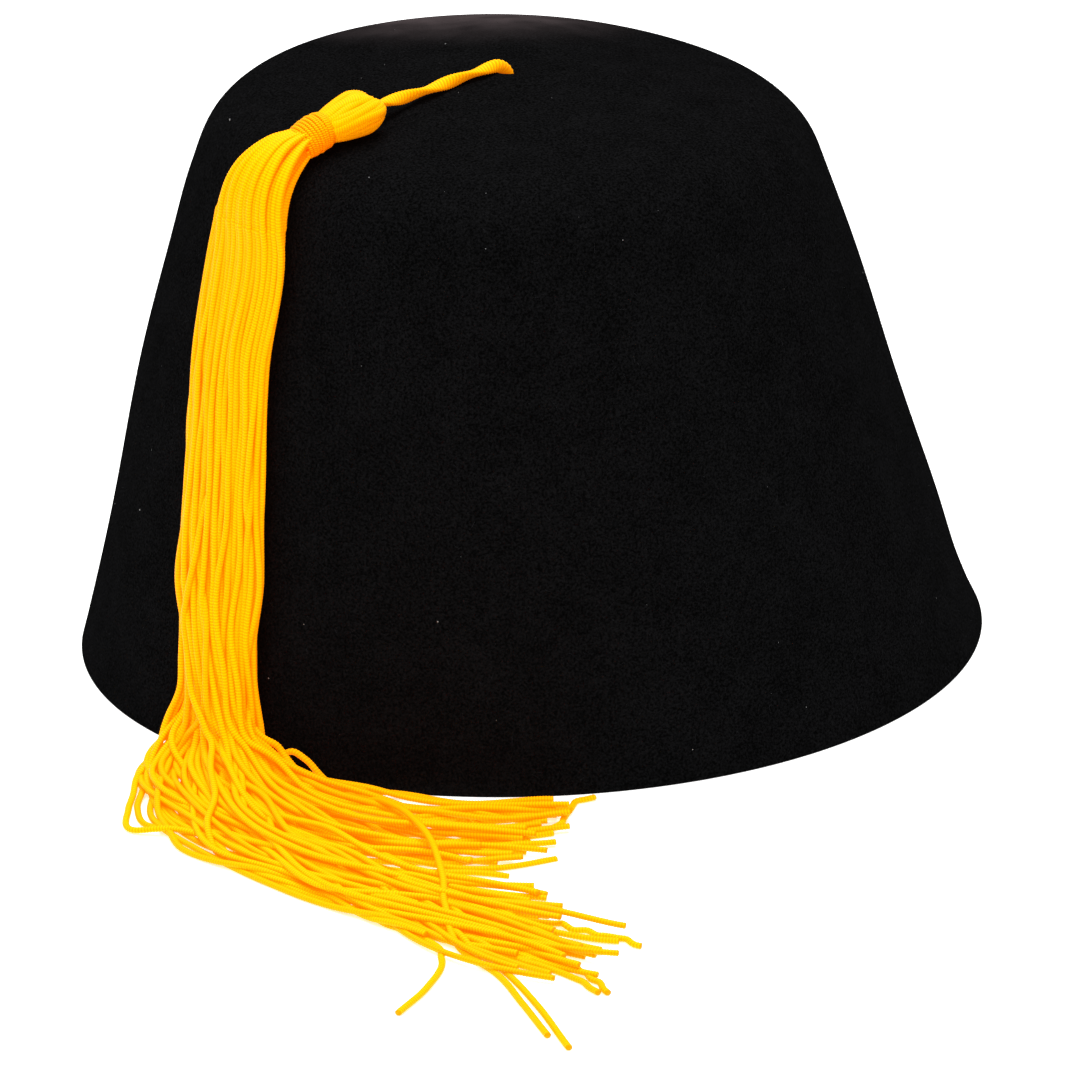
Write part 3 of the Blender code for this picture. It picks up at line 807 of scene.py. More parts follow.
@dataclass
class Tassel:
    """The tassel: a head of folded strands, a bound neck, a skirt down the wall and a fan on the surface."""

    form: HatForm
    clearance: float = 0.0003
    cord_run: float = 0.0386
    head_swing: float = 6.8
    neck_swing: float = 2.6
    head_length: float = 0.0125
    head_width: float = 0.0112
    head_depth: float = 0.0098
    neck_length: float = 0.0070
    binding_diameter: float = 0.0082
    binding_wraps: int = 11
    skirt_width: float = 0.0222
    skirt_depth: float = 0.0062
    skirt_rounding: float = 0.80
    foot_bow: float = 0.0120
    fan_reach: float = 0.0900
    heap_depth: float = 0.0060
    lock_width: float = 0.0052
    lock_depth: float = 0.0030
    strands_a_lock: int = 6
    strand_spread: float = 0.00155  # half the width over which a lock's strands lie in the skirt
    skirt_drift: float = 0.8  # mm that a strand wanders in the skirt, and further in the fan
    fan_drift: float = 3.0
    settled_radius: float = 0.00064
    path_points: int = 270
    settle_rounds: int = 60
    smooth_rounds: int = 24
    sink: float = 0.00006  # first round's fall of a strand on the surface
    top_sides: int = 7
    under_sides: int = 5
    cut: float = 0.05  # most of a strand's length that is cut off its tip
    roll: float = 6.0  # most radians that a strand turns along its length
    spread_share: float = 0.35  # share of a shift's bend that a round evens out
    strand_seed: int = 11
    head_seed: int = 5
    binding_seed: int = 3
    yarn: Yarn = field(default_factory=Yarn)
    head_yarn: Yarn = field(default_factory=lambda: Yarn(sides=8, rib=0.00052, rib_depth=0.15, flat=0.55))
    skirt: tuple[SkirtStation, ...] = (
        SkirtStation(0.985, 1.8, 0.40, 1.56),
        SkirtStation(0.94, 0.2, 0.61, 1.56),
        SkirtStation(0.85, 0.1, 0.86, 1.06),
        SkirtStation(0.65, 0.4, 0.86, 0.94),
        SkirtStation(0.44, 3.5, 0.88, 0.94),
        SkirtStation(0.31, 5.2, 0.95, 0.96),
        SkirtStation(0.20, 7.9, 0.66, 1.15),
    )
    locks: tuple[Lock, ...] = (
        Lock(0.86, 0.9, 17.0, 0.01, 31, 0.08, 51.5, 0.10, 0.08),
        Lock(0.62, 0.1, 17.0, 0.00, 31, 0.12, 51.0, 0.16, 0.20),
        Lock(0.52, 1.0, 16.5, 0.01, 32, 0.21, 49.0, 0.26, 0.55),
        Lock(0.28, 0.1, 15.5, 0.03, 31, 0.27, 48.5, 0.35, 0.30),
        Lock(0.18, 1.0, 15.5, 0.04, 31, 0.31, 45.0, 0.38, 0.85),
        Lock(-0.10, 0.1, 15.0, 0.06, 31, 0.38, 47.5, 0.60, 0.35),
        Lock(-0.17, 1.0, 14.5, 0.06, 31, 0.42, 49.5, 0.66, 0.90),
        Lock(-0.52, 1.0, 13.5, 0.08, 31, 0.44, 53.0, 0.79, 0.65),
        Lock(-0.40, 0.1, 12.5, 0.12, 30, 0.42, 51.5, 0.90, 0.25),
        Lock(-0.70, 0.2, 11.0, 0.14, 28, 0.40, 50.5, 0.97, 0.40),
        Lock(-0.88, 0.7, 7.4, 0.14, 24, 0.36, 50.0, 0.88, 0.30),
        Lock(-0.90, 0.3, 6.8, 0.20, 20, 0.33, 44.0, 0.66, 0.20),
    )
    laid: tuple[Laid, ...] = (
        Laid(1.24, 0.75, 1.0),
        Laid(1.70, 0.60, 0.3),
        Laid(1.50, 0.00, 0.1),
    )
    tip_past: float = 3.0  # degrees that a lock's tip reaches past its place in the table
    strays: tuple[Stray, ...] = (
        Stray(0.1, ((33.0, 0.50, 2), (37.0, 0.62, 0.7), (40.5, 0.72, 0.7), (42.6, 0.78, 0.7),
                    (43.4, 0.86, 0.7), (43.0, 0.98, 0.7), (41.8, 1.11, 0.7))),
        Stray(0.1, ((31.0, 0.10, 4), (35.0, 0.18, 7), (39.0, 0.31, 8), (42.0, 0.52, 7), (43.2, 0.70, 3),
                    (45.2, 0.84, 0.7), (46.9, 0.93, 0.7), (48.4, 1.07, 0.7), (49.7, 1.22, 0.7))),
        Stray(0.1, ((38.0, 0.55, 3), (42.0, 0.68, 2), (45.9, 0.83, 0.7), (47.8, 0.95, 0.7),
                    (49.2, 1.08, 0.7), (50.7, 1.28, 0.7))),
        Stray(0.1, ((36.0, 0.52, 3), (42.8, 0.73, 1.4), (46.2, 0.79, 0.7), (49.4, 0.88, 0.7),
                    (51.6, 0.97, 0.7), (52.6, 1.03, 0.7))),
        Stray(0.1, ((40.0, 0.58, 3), (46.8, 0.76, 1.4), (50.0, 0.84, 0.7), (52.0, 0.92, 0.7),
                    (53.2, 1.03, 0.7))),
        Stray(0.1, ((42.0, 0.58, 3), (48.0, 0.65, 1.4), (52.5, 0.73, 0.7), (55.9, 0.81, 0.7))),
        Stray(1.0, ((2.0, -0.70, 4), (2.6, -0.45, 6), (3.8, -0.27, 6.5), (6.8, -0.16, 8), (9.8, -0.09, 9),
                    (11.8, 0.02, 9), (14.7, 0.16, 8), (17.7, 0.25, 6.5), (20.1, 0.37, 4), (22.6, 0.43, 1),
                    (25.3, 0.45, 0.7), (28.0, 0.48, 0.7), (32.3, 0.54, 0.7), (36.7, 0.625, 0.7),
                    (42.0, 0.75, 0.7))),
        Stray(1.0, ((-0.5, -0.70, 3), (0.6, -0.42, 4), (1.9, -0.23, 4), (3.5, -0.16, 5), (3.2, -0.06, 5),
                    (3.8, 0.04, 4), (5.1, 0.11, 3), (6.0, 0.19, 2), (7.7, 0.25, 1), (9.7, 0.32, 0.7),
                    (13.1, 0.40, 0.7), (16.3, 0.37, 1.4), (19.1, 0.37, 2), (24.8, 0.46, 1.4),
                    (28.0, 0.50, 0.7), (34.0, 0.57, 0.7), (42.0, 0.68, 0.7), (51.0, 0.80, 0.7))),
        Stray(1.0, ((6.0, -0.60, 3), (7.8, -0.30, 4.5), (8.7, -0.07, 6), (7.0, -0.01, 5), (6.4, 0.08, 4),
                    (8.6, 0.17, 3), (11.6, 0.27, 2), (13.9, 0.33, 1), (16.4, 0.38, 0.7), (19.0, 0.43, 0.7),
                    (22.8, 0.46, 0.7), (28.0, 0.49, 1.4), (34.0, 0.53, 1.4), (42.0, 0.60, 0.7),
                    (50.5, 0.70, 0.7))),
        Stray(1.0, ((3.0, -0.60, 3), (5.0, -0.30, 4), (7.6, -0.12, 5), (9.4, 0.02, 4), (11.4, 0.14, 2),
                    (14.0, 0.26, 1.4), (18.4, 0.34, 2), (24.0, 0.38, 3), (31.0, 0.44, 4), (40.0, 0.52, 2),
                    (51.0, 0.63, 0.7))),
        Stray(1.0, ((2.0, -0.60, 1.4), (3.6, -0.35, 1.4), (5.4, -0.15, 1.6), (7.4, 0.0, 1.4),
                    (9.6, 0.12, 1), (13.5, 0.22, 0.7), (20.0, 0.30, 0.7), (30.0, 0.36, 0.7),
                    (40.0, 0.36, 0.7), (48.0, 0.34, 0.7))),
        Stray(1.0, ((4.0, -0.60, 1.4), (5.4, -0.35, 1.4), (7.0, -0.15, 1.6), (9.0, 0.0, 1.4),
                    (11.5, 0.09, 1), (15.5, 0.17, 0.7), (22.0, 0.24, 0.7), (32.0, 0.30, 0.7),
                    (42.0, 0.29, 0.7), (51.0, 0.26, 0.7))),
        Stray(1.0, ((0.0, -0.60, 1.4), (1.4, -0.35, 1.4), (3.4, -0.15, 1.6), (5.4, 0.02, 1.4),
                    (7.4, 0.14, 1), (11.0, 0.25, 0.7), (17.0, 0.33, 0.7), (27.0, 0.40, 0.7),
                    (38.0, 0.50, 0.7), (50.0, 0.64, 0.7))),
        Stray(1.0, ((5.6, -0.60, 1.4), (6.8, -0.35, 1.4), (8.4, -0.15, 1.6), (10.6, 0.0, 1.4),
                    (13.6, 0.06, 1), (18.5, 0.12, 0.7), (26.0, 0.18, 0.7), (36.0, 0.21, 0.7),
                    (45.0, 0.20, 0.7), (52.5, 0.18, 0.7))),
        Stray(1.0, ((1.0, -0.60, 2.4), (2.6, -0.35, 2.6), (4.6, -0.15, 3), (6.6, 0.0, 2.6),
                    (8.4, 0.12, 1.6), (10.0, 0.24, 0.7), (13.0, 0.33, 0.7), (20.0, 0.42, 0.7),
                    (30.0, 0.54, 0.7), (40.0, 0.68, 0.7), (50.0, 0.92, 0.7))),
        Stray(1.0, ((3.0, -0.60, 2.4), (4.6, -0.35, 2.6), (6.4, -0.15, 3), (8.2, 0.0, 2.6),
                    (10.4, 0.10, 1.6), (12.4, 0.20, 0.7), (16.0, 0.30, 0.7), (23.0, 0.38, 0.7),
                    (33.0, 0.50, 0.7), (44.0, 0.66, 0.7), (53.0, 0.84, 0.7))),
        Stray(1.0, ((0.1, -0.60, 3), (1.3, -0.38, 3.4), (2.6, -0.22, 3.4), (3.9, -0.15, 4),
                    (3.6, -0.065, 4), (4.2, 0.03, 3), (5.5, 0.10, 2), (6.5, 0.178, 1.4), (8.2, 0.238, 0.7),
                    (10.2, 0.303, 0.7), (13.6, 0.36, 0.7), (17.0, 0.34, 0.7), (22.0, 0.36, 0.7),
                    (30.0, 0.44, 0.7), (41.0, 0.52, 0.7), (51.0, 0.60, 0.7))),
        Stray(1.0, ((1.0, -0.60, 2), (2.2, -0.36, 2.4), (3.4, -0.20, 2.6), (4.7, -0.12, 2.6),
                    (5.0, -0.05, 2.4), (5.6, 0.01, 2), (6.8, 0.055, 1.4), (8.0, 0.13, 1), (9.6, 0.19, 0.7),
                    (11.6, 0.25, 0.7), (15.0, 0.31, 0.7), (21.0, 0.33, 0.7), (30.0, 0.40, 0.7),
                    (40.0, 0.45, 0.7), (49.0, 0.48, 0.7))),
        Stray(0.3, ((12.5, -0.09, 4), (15.1, -0.065, 3), (17.2, -0.07, 1.8), (18.9, -0.086, 1.6),
                    (20.8, -0.072, 1.5), (23.3, -0.03, 1.0), (26.5, 0.02, 0.8), (31.0, 0.065, 0.8))),
        Stray(0.1, ((42.0, 0.14, 3), (47.0, 0.20, 2), (50.6, 0.19, 1.2), (52.4, 0.12, 0.7),
                    (54.0, 0.05, 0.7), (56.0, 0.03, 0.7))),
    )
    head: tuple[Section, ...] = (
        Section(0.26, 0.10),
        Section(0.19, 0.30),
        Section(0.16, 0.48),
        Section(0.21, 0.78),
        Section(0.39, 0.97),
        Section(0.62, 0.94),
        Section(0.85, 0.84),
        Section(1.00, 0.74),
        Section(1.12, 0.62),
    )
    head_strands: int = 27
    lobe: float = 0.0018

    @cached_property
    def head_start(self) -> float:
        """Reach up the felt at the cord's end of the head."""
        return self.form.apex - self.cord_run

    @cached_property
    def neck_end(self) -> float:
        """Reach up the felt at the neck's lower end."""
        return self.head_start - self.head_length - self.neck_length

    @cached_property
    def neck_share(self) -> float:
        """Share of the head and neck that is head."""
        return self.head_length / (self.head_length + self.neck_length)

    @cached_property
    def neck_lift(self) -> float:
        """Height of the neck's axis off the felt."""
        return self.binding_diameter / 2 + self.clearance

    def neck_axis(self, along: Array) -> Array:
        """Rows (swing, reach, lift, bow) of the head's and neck's axis, a straight run in all four."""
        along = np.asarray(along, float)
        reach = self.head_start + (self.neck_end - self.head_start) * along
        swing = self.neck_swing + (self.head_swing - self.neck_swing) * (1 - along)
        lift = self.neck_lift + (self.head_depth / 2 + self.clearance - self.neck_lift) * (1 - along)
        return np.column_stack([swing, reach, lift, np.full(along.shape, self.foot_bow)])

    def lock_rows(self, lock: Lock) -> Array:
        """Rows (swing, reach, lift, bow, spread) of a lock from inside the binding to its tip.

        In the neck its place is a share of the neck's radius. Down the wall its swing follows its lane
        across the skirt, and its lift its layer, less towards the rounded edges. On the surface it has the
        three places of the table. The spread is half the width over which its strands lie.
        """
        neck = self.neck_axis([self.neck_share + 0.12, 0.93])
        inside = self.binding_diameter / 2 - 1.5 * MM
        line, _ = self.form.drape_line(neck[:, 1], neck[:, 3])
        neck[:, 0] += np.degrees(lock.lane * inside / line[:, 0])
        neck[:, 2] += (2 * lock.layer - 1) * inside * math.sqrt(1 - (0.8 * lock.lane) ** 2)
        neck = np.column_stack([neck, np.full(len(neck), 0.7 * MM)])
        stations = np.array(self.skirt)
        reach, spread = stations[:, 0] * self.neck_end, stations[:, 2] * self.skirt_width / 2
        line, _ = self.form.drape_line(reach, self.foot_bow)
        swing = stations[:, 1] + np.degrees(lock.lane * spread / line[:, 0])
        rounding = math.sqrt(1 - (self.skirt_rounding * lock.lane) ** 2)
        depth = stations[:, 3] * self.skirt_depth
        lift = self.clearance + self.lock_depth / 2 + lock.layer * rounding * (depth - self.lock_depth)
        half = self.strand_spread * np.clip(stations[:, 2], 0.45, 1)
        hung = np.column_stack([swing, reach, lift, np.full(reach.shape, self.foot_bow), half])
        wide, heap, bow = np.array(self.laid).T
        out = np.array([lock.turn_out, lock.sweep_out, lock.tip_out]) * self.fan_reach
        lift = self.clearance + self.lock_depth / 2 + self.heap_depth * lock.heap * heap
        swing = [lock.turn, lock.sweep, lock.tip + self.tip_past]
        laid = [swing, -out, lift, bow * self.foot_bow, 0.42 * wide * self.lock_width]
        return np.vstack([neck, hung, np.column_stack(laid)])

    def laid_paths(self, rng: np.random.Generator) -> tuple[Array, Array, Array]:
        """Lays every strand of every lock along its lock's route.

        A strand keeps its place across the lock, from -1 to 1 of the spread, lies by turns high and low,
        and wanders more and more from the skirt to the fan.

        Args:
            rng: seeded source of the wander.

        Returns:
            (strands, points, 3) places, the direction off the felt at each, and how free each point is.
        """
        paths, offs, loose = [], [], []
        count = self.path_points
        lanes = np.linspace(-1, 1, self.strands_a_lock)
        for lock in self.locks:
            rows = self.form.evened(self.lock_rows(lock), count)
            centre, off = self.form.draped_with_off(rows, self.clearance)
            _, sideways, off = ring_frames(centre, off)
            down = (self.neck_end - rows[:, 1]) / MM
            drift = smooth_step(down, 5, 60) * self.skirt_drift + smooth_step(down, 95, 170) * self.fan_drift
            sides = wander(rng, len(lanes), count, 8)
            rises = wander(rng, len(lanes), count, 6)
            for strand, place in enumerate(lanes):
                across = place * rows[:, 4] + sides[strand] * drift * MM
                parity = 1 if strand % 2 else -1
                layer = 0.5 * parity * np.clip(rows[:, 4] / self.strand_spread, 0, 1)
                deep = (layer + 0.4 * drift * rises[strand]) * MM
                paths.append(centre + sideways * across[:, None] + off * deep[:, None])
                offs.append(off)
                loose.append(smooth_step(down, -1, 8))
        return np.array(paths), np.array(offs), np.array(loose)

    def close_pairs(self, paths: Array, reach: float) -> tuple[Array, Array]:
        """Flat indices of pairs of points on different strands that lie within a reach."""
        count = paths.shape[1]
        flat = paths.reshape(-1, 3)
        first, second = [], []
        for strand in range(len(paths) - 1):
            own, start = paths[strand], (strand + 1) * count
            rest = flat[start:]
            low, high = own.min(0) - reach, own.max(0) + reach
            near = np.flatnonzero(np.all((rest > low) & (rest < high), axis=1))
            apart = np.sum(own**2, 1)[:, None] + np.sum(rest[near] ** 2, 1) - 2 * own @ rest[near].T
            mine, other = np.nonzero(apart < reach**2)
            first.append(mine + strand * count)
            second.append(near[other] + start)
        return np.concatenate(first), np.concatenate(second)

    def evened_out(self, shift: Array, share: float) -> Array:
        """Moves each shift a share of the way to its neighbours' mean, the tip's last ones as one."""
        shift[:, 1:-1] += share * (shift[:, 2:] + shift[:, :-2] - 2 * shift[:, 1:-1])
        shift[:, -3:] = shift[:, -4:-3]
        return shift

    def settled(self, paths: Array, loose: Array, scale: Array) -> Array:
        """Lets the strands sink on each other, the felt and the surface.

        Each round lowers the loose points a little, pushes apart points of different strands that are
        nearer than their two radii, by half the overlap each, spreads every shift along its strand, and
        lifts what has come into the felt or the surface. A few last rounds only spread the shifts.

        Args:
            paths: (strands, points, 3) places.
            loose: how free each point is, from 0 to 1.
            scale: share of the full radius at each point.

        Returns:
            The places after all rounds.
        """
        start = paths.copy()
        radius = self.settled_radius * scale
        flat_radius = radius.reshape(-1)
        free = loose[..., None]
        total = paths.shape[0] * paths.shape[1]
        rounds = self.settle_rounds
        for step in range(rounds):
            if step % 10 == 0:
                mine, other = self.close_pairs(paths, 2.6 * self.settled_radius)
            on_floor = smooth_step(-paths[..., 2], -0.03, -0.005)
            paths[..., 2] -= self.sink * loose * on_floor * (1 - step / rounds)
            shift = paths - start
            paths = start + self.evened_out(shift, self.spread_share) * free
            flat = paths.reshape(-1, 3)
            apart = flat[mine] - flat[other]
            gap = np.linalg.norm(apart, axis=1)
            overlap = np.clip(flat_radius[mine] + flat_radius[other] - gap, 0, None)
            push = apart * (0.5 * overlap / np.maximum(gap, 1e-6))[:, None]
            hits = np.bincount(mine, overlap > 0, total) + np.bincount(other, overlap > 0, total)
            move = np.stack([np.bincount(mine, push[:, k], total) - np.bincount(other, push[:, k], total)
                             for k in range(3)], -1)
            move = move / np.sqrt(np.maximum(hits, 1))[:, None]
            paths = (flat + move * loose.reshape(-1, 1)).reshape(paths.shape)
            paths = np.where(free > 0, self.form.kept_off(paths, radius + self.clearance), paths)
            paths[..., 2] = np.maximum(paths[..., 2], radius)
        shift = paths - start
        for _ in range(self.smooth_rounds):
            shift = self.evened_out(shift, 0.5)
        return start + shift * free

    def stray_path(self, stray: Stray) -> Array:
        """Path of a strand on the surface through its places."""
        swing, out, lift = np.array(stray.rows).T
        bow = np.full(len(swing), stray.bow * self.foot_bow)
        rows = np.column_stack([swing, -out * self.fan_reach, lift * MM, bow])
        return self.form.draped(*self.form.evened(rows, self.path_points).T)

    def build_strands(self, material: bpy.types.Material) -> None:
        """Makes the skirt and the fan, one piece for each lock and one for the strays."""
        rng = np.random.default_rng(self.strand_seed)
        paths, offs, loose = self.laid_paths(rng)
        narrow = 0.62  # share of the radius inside the binding
        scale = narrow + (1 - narrow) * smooth_step(lengths_along(paths[0])[None] / MM + 0 * loose, 3, 16)
        lone = np.array([self.stray_path(stray) for stray in self.strays])
        paths = np.concatenate([paths, lone])
        loose = np.concatenate([loose, np.ones(lone.shape[:2])])
        scale = np.concatenate([scale, np.ones(lone.shape[:2])])
        paths = self.settled(paths, loose, scale)
        trim = rng.uniform(0, self.cut, len(paths))
        tones = rng.uniform(0.0, 1.0, len(paths))
        turns = rng.uniform(-self.roll, self.roll, len(paths))
        each = self.strands_a_lock
        for number, lock in enumerate(self.locks):
            yarn = replace(self.yarn, sides=self.top_sides if lock.layer > 0.5 else self.under_sides)
            parts = []
            for strand in range(number * each, (number + 1) * each):
                kept = slice(0, int(self.path_points * (1 - trim[strand])))
                parts.append(yarn.tube(paths[strand][kept], offs[strand][kept], scale[strand][kept],
                                       tones[strand], turns[strand]))
            piece = mesh_object(f"strand_lock_{number + 1:02d}", joined(parts))
            finish_piece(piece, Slot.STRANDS, material, "tassel_bundle")
        parts = []
        yarn = replace(self.yarn, sides=self.top_sides)
        for strand in range(len(self.locks) * each, len(paths)):
            outward = unit(paths[strand] * (1.0, 1.0, 0.0)) * np.clip(paths[strand][:, 2:] / (20 * MM), 0, 1)
            off = 1.5 * outward + (0.0, 0.0, 1.0)
            parts.append(yarn.tube(paths[strand], off, scale[strand], tones[strand], turns[strand]))
        finish_piece(mesh_object("stray_strands", joined(parts)), Slot.STRANDS, material)

    def build_head(self, material: bpy.types.Material) -> None:
        """Makes the head: strands that run from inside the notch over its end and down into the binding.

        Strand k lies at the angle k of an even circle round the axis, at the girth of the sections less its
        own radius, and is wide enough to lap its neighbours. At the cord's end it is moved along the axis by
        the lobe's length times a half less the square of the angle's cosine, which leaves a notch between
        two lobes.
        """
        rng = np.random.default_rng(self.head_seed)
        sections = np.array(self.head)
        rows = smooth_curve(np.arange(len(sections)), sections, np.linspace(0, len(sections) - 1, 90))
        centre, off = self.form.draped_with_off(self.neck_axis(rows[:, 0] * self.neck_share), self.clearance)
        spine = self.form.draped(*self.neck_axis([-0.1, 1.1]).T)
        along = unit(spine[-1:] - spine[:1])
        off = unit(off - along * np.sum(off * along, axis=1, keepdims=True))
        sideways = np.cross(off, along)
        wide, deep = self.head_width / 2, self.head_depth / 2
        yarn = self.head_yarn
        parts = []
        for strand in range(self.head_strands):
            angle = 2 * math.pi * (strand + rng.uniform(-0.18, 0.18)) / self.head_strands
            sway = 0.10 * wander(rng, 1, len(rows), 2)[0] * np.clip(rows[:, 1], 0, 1)
            girth = rows[:, 1] * (1 + 0.015 * rng.normal())
            lobe = (0.5 - math.cos(angle) ** 2) * self.lobe * (1 - smooth_step(rows[:, 0], 0.25, 0.8))
            room = math.pi * girth * (wide + deep) / self.head_strands
            radius = np.clip(room * 1.45, 0.12 * MM, 1.3 * yarn.radius)
            out = spun(angle + sway, sideways * (wide * girth - yarn.flat * radius)[:, None],
                       off * (deep * girth - yarn.flat * radius)[:, None])
            path = centre + out + along * lobe[:, None]
            parts.append(yarn.tube(path, unit(out), radius / yarn.radius, rng.uniform(0.0, 1.0)))
        parts.append(self.head_core(centre, sideways * wide, off * deep, rows[:, 1] - MM / wide))
        finish_piece(mesh_object("head_strands", joined(parts)), Slot.STRANDS, material, "tassel_bundle")

    def head_core(self, centre: Array, across: Array, off: Array, girth: Array) -> Surface:
        """Closed filling under the head's strands: an ellipse at each section but the outermost."""
        keep = slice(14, len(centre) - 8)
        ring = spun(circle(24), across[keep, None], off[keep, None])
        points = centre[keep, None] + ring * np.maximum(girth[keep, None, None], 0.05)
        uv = np.zeros((points.shape[0], points.shape[1] + 1, 2))
        # rib 0 gives the filling the painted groove shade colour
        flat = np.zeros(points.shape[:2])
        return grid_surface(points, uv, {"rib": flat, "tone": flat}, caps=True)

    def build_binding(self, material: bpy.types.Material) -> None:
        """Makes the binding: one thread wound round the neck in a close helix.

        The thread's centre is at a turn's angle round the neck's axis while it moves down it evenly, and
        it swings in at both ends, where it is tucked under.
        """
        rng = np.random.default_rng(self.binding_seed)
        thread = self.neck_length / self.binding_wraps / 2
        count = 40 * self.binding_wraps
        turn = np.linspace(0, 2 * math.pi * self.binding_wraps, count)
        share = np.linspace(0, 1, count)
        margin = thread / (self.head_length + self.neck_length)
        axis = self.neck_axis(self.neck_share + margin + (1 - self.neck_share - 2 * margin) * share)
        along, sideways, off = ring_frames(*self.form.draped_with_off(axis, self.clearance))
        waist = 1 - 0.16 * np.abs(2 * share - 1) ** 3 + 0.02 * wander(rng, 1, count, 9)[0]
        radius = (self.binding_diameter / 2 - thread) * waist
        out = spun(turn, sideways, off)
        stray = 0.15 * thread * wander(rng, 1, count, 12)[0]
        path = self.form.draped(*axis.T) + out * radius[:, None] + along * stray[:, None]
        yarn = Yarn(radius=thread * 1.35, rib=0.00050, rib_depth=0.20, slant=0.00012, sides=8, flat=0.72)
        surface = yarn.tube(path, out, np.ones(count), 0.6)
        finish_piece(mesh_object("binding_thread", surface), Slot.THREAD, material, "neck_binding")


@dataclass
class SuspensionCord:
    """The doubled strand that the tassel hangs on, and the knot that holds it under the top."""

    form: HatForm
    diameter: float = 0.0022
    half_twist: float = 0.0141
    twist_start: float = -0.807  # radians
    tucked: float = 0.0020
    tip_share: float = 0.8
    yarn: Yarn = field(default_factory=lambda: Yarn(0.00145, 0.00084, 0.11, 0.00022, sides=16, flat=0.60))
    route: tuple[tuple[float, float, float], ...] = (
        (-0.00573, 0.00000, -0.00300),
        (-0.00582, -0.00006, -0.00210),
        (-0.00608, -0.00022, -0.00114),
        (-0.00653, -0.00049, -0.00028),
        (-0.00715, -0.00086, 0.00040),
        (-0.00800, -0.00138, 0.00100),
        (-0.00900, -0.00198, 0.00132),
        (-0.01010, -0.00266, 0.00139),
        (-0.01240, -0.00410, 0.00135),
        (-0.01520, -0.00570, 0.00125),
        (-0.01820, -0.00742, 0.00112),
        (-0.02120, -0.00912, 0.00098),
        (-0.02420, -0.01098, 0.00088),
        (-0.02720, -0.01284, 0.00082),
        (-0.03020, -0.01464, 0.00080),
        (-0.03310, -0.01642, 0.00092),
        (-0.03580, -0.01836, 0.00118),
        (-0.03830, -0.02014, 0.00138),
    )

    def centreline(self) -> Array:
        """Points along the cord's middle, from its hole to the tassel's head, 0.4 mm apart."""
        route = np.array(self.route) + (0.0, 0.0, self.form.height)
        knots = lengths_along(route)
        return smooth_curve(knots, route, np.linspace(0, knots[-1], int(knots[-1] / (0.4 * MM))))

    def build(self, material: bpy.types.Material) -> None:
        """Makes the cord: the doubled strand, pressed flat, which turns evenly round the centreline.

        Its flat side is across the cosine and sine of an angle that grows with the length, half a turn in
        every half twist. It narrows a little where it enters the tassel's head, and runs on into the head
        by the tucked length.
        """
        path = self.centreline()
        inside = path[-1] + unit(path[-1] - path[-4]) * np.linspace(0, self.tucked, 6)[1:, None]
        whole = np.vstack([path, inside])
        knots = lengths_along(whole)
        _, sideways, off = ring_frames(whole, np.tile([0.3, 0.0, 1.0], (len(whole), 1)))
        turn = self.twist_start + math.pi * knots / self.half_twist
        spoke = spun(turn, sideways, off)
        taper = self.tip_share + (1 - self.tip_share) * smooth_step(knots[-1] - knots, 0, 4 * MM)
        piece = mesh_object("suspension_cord", self.yarn.tube(whole, spoke, taper, 0.75))
        finish_piece(piece, Slot.CORD, material, "tassel_cord")

    def dress_knot(self, material: bpy.types.Material) -> None:
        """Gives the knot's CAD node its material, in place of the CAD's plain one."""
        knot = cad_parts["cord_knot"]
        knot.data.materials.clear()
        knot.data.materials.append(material)


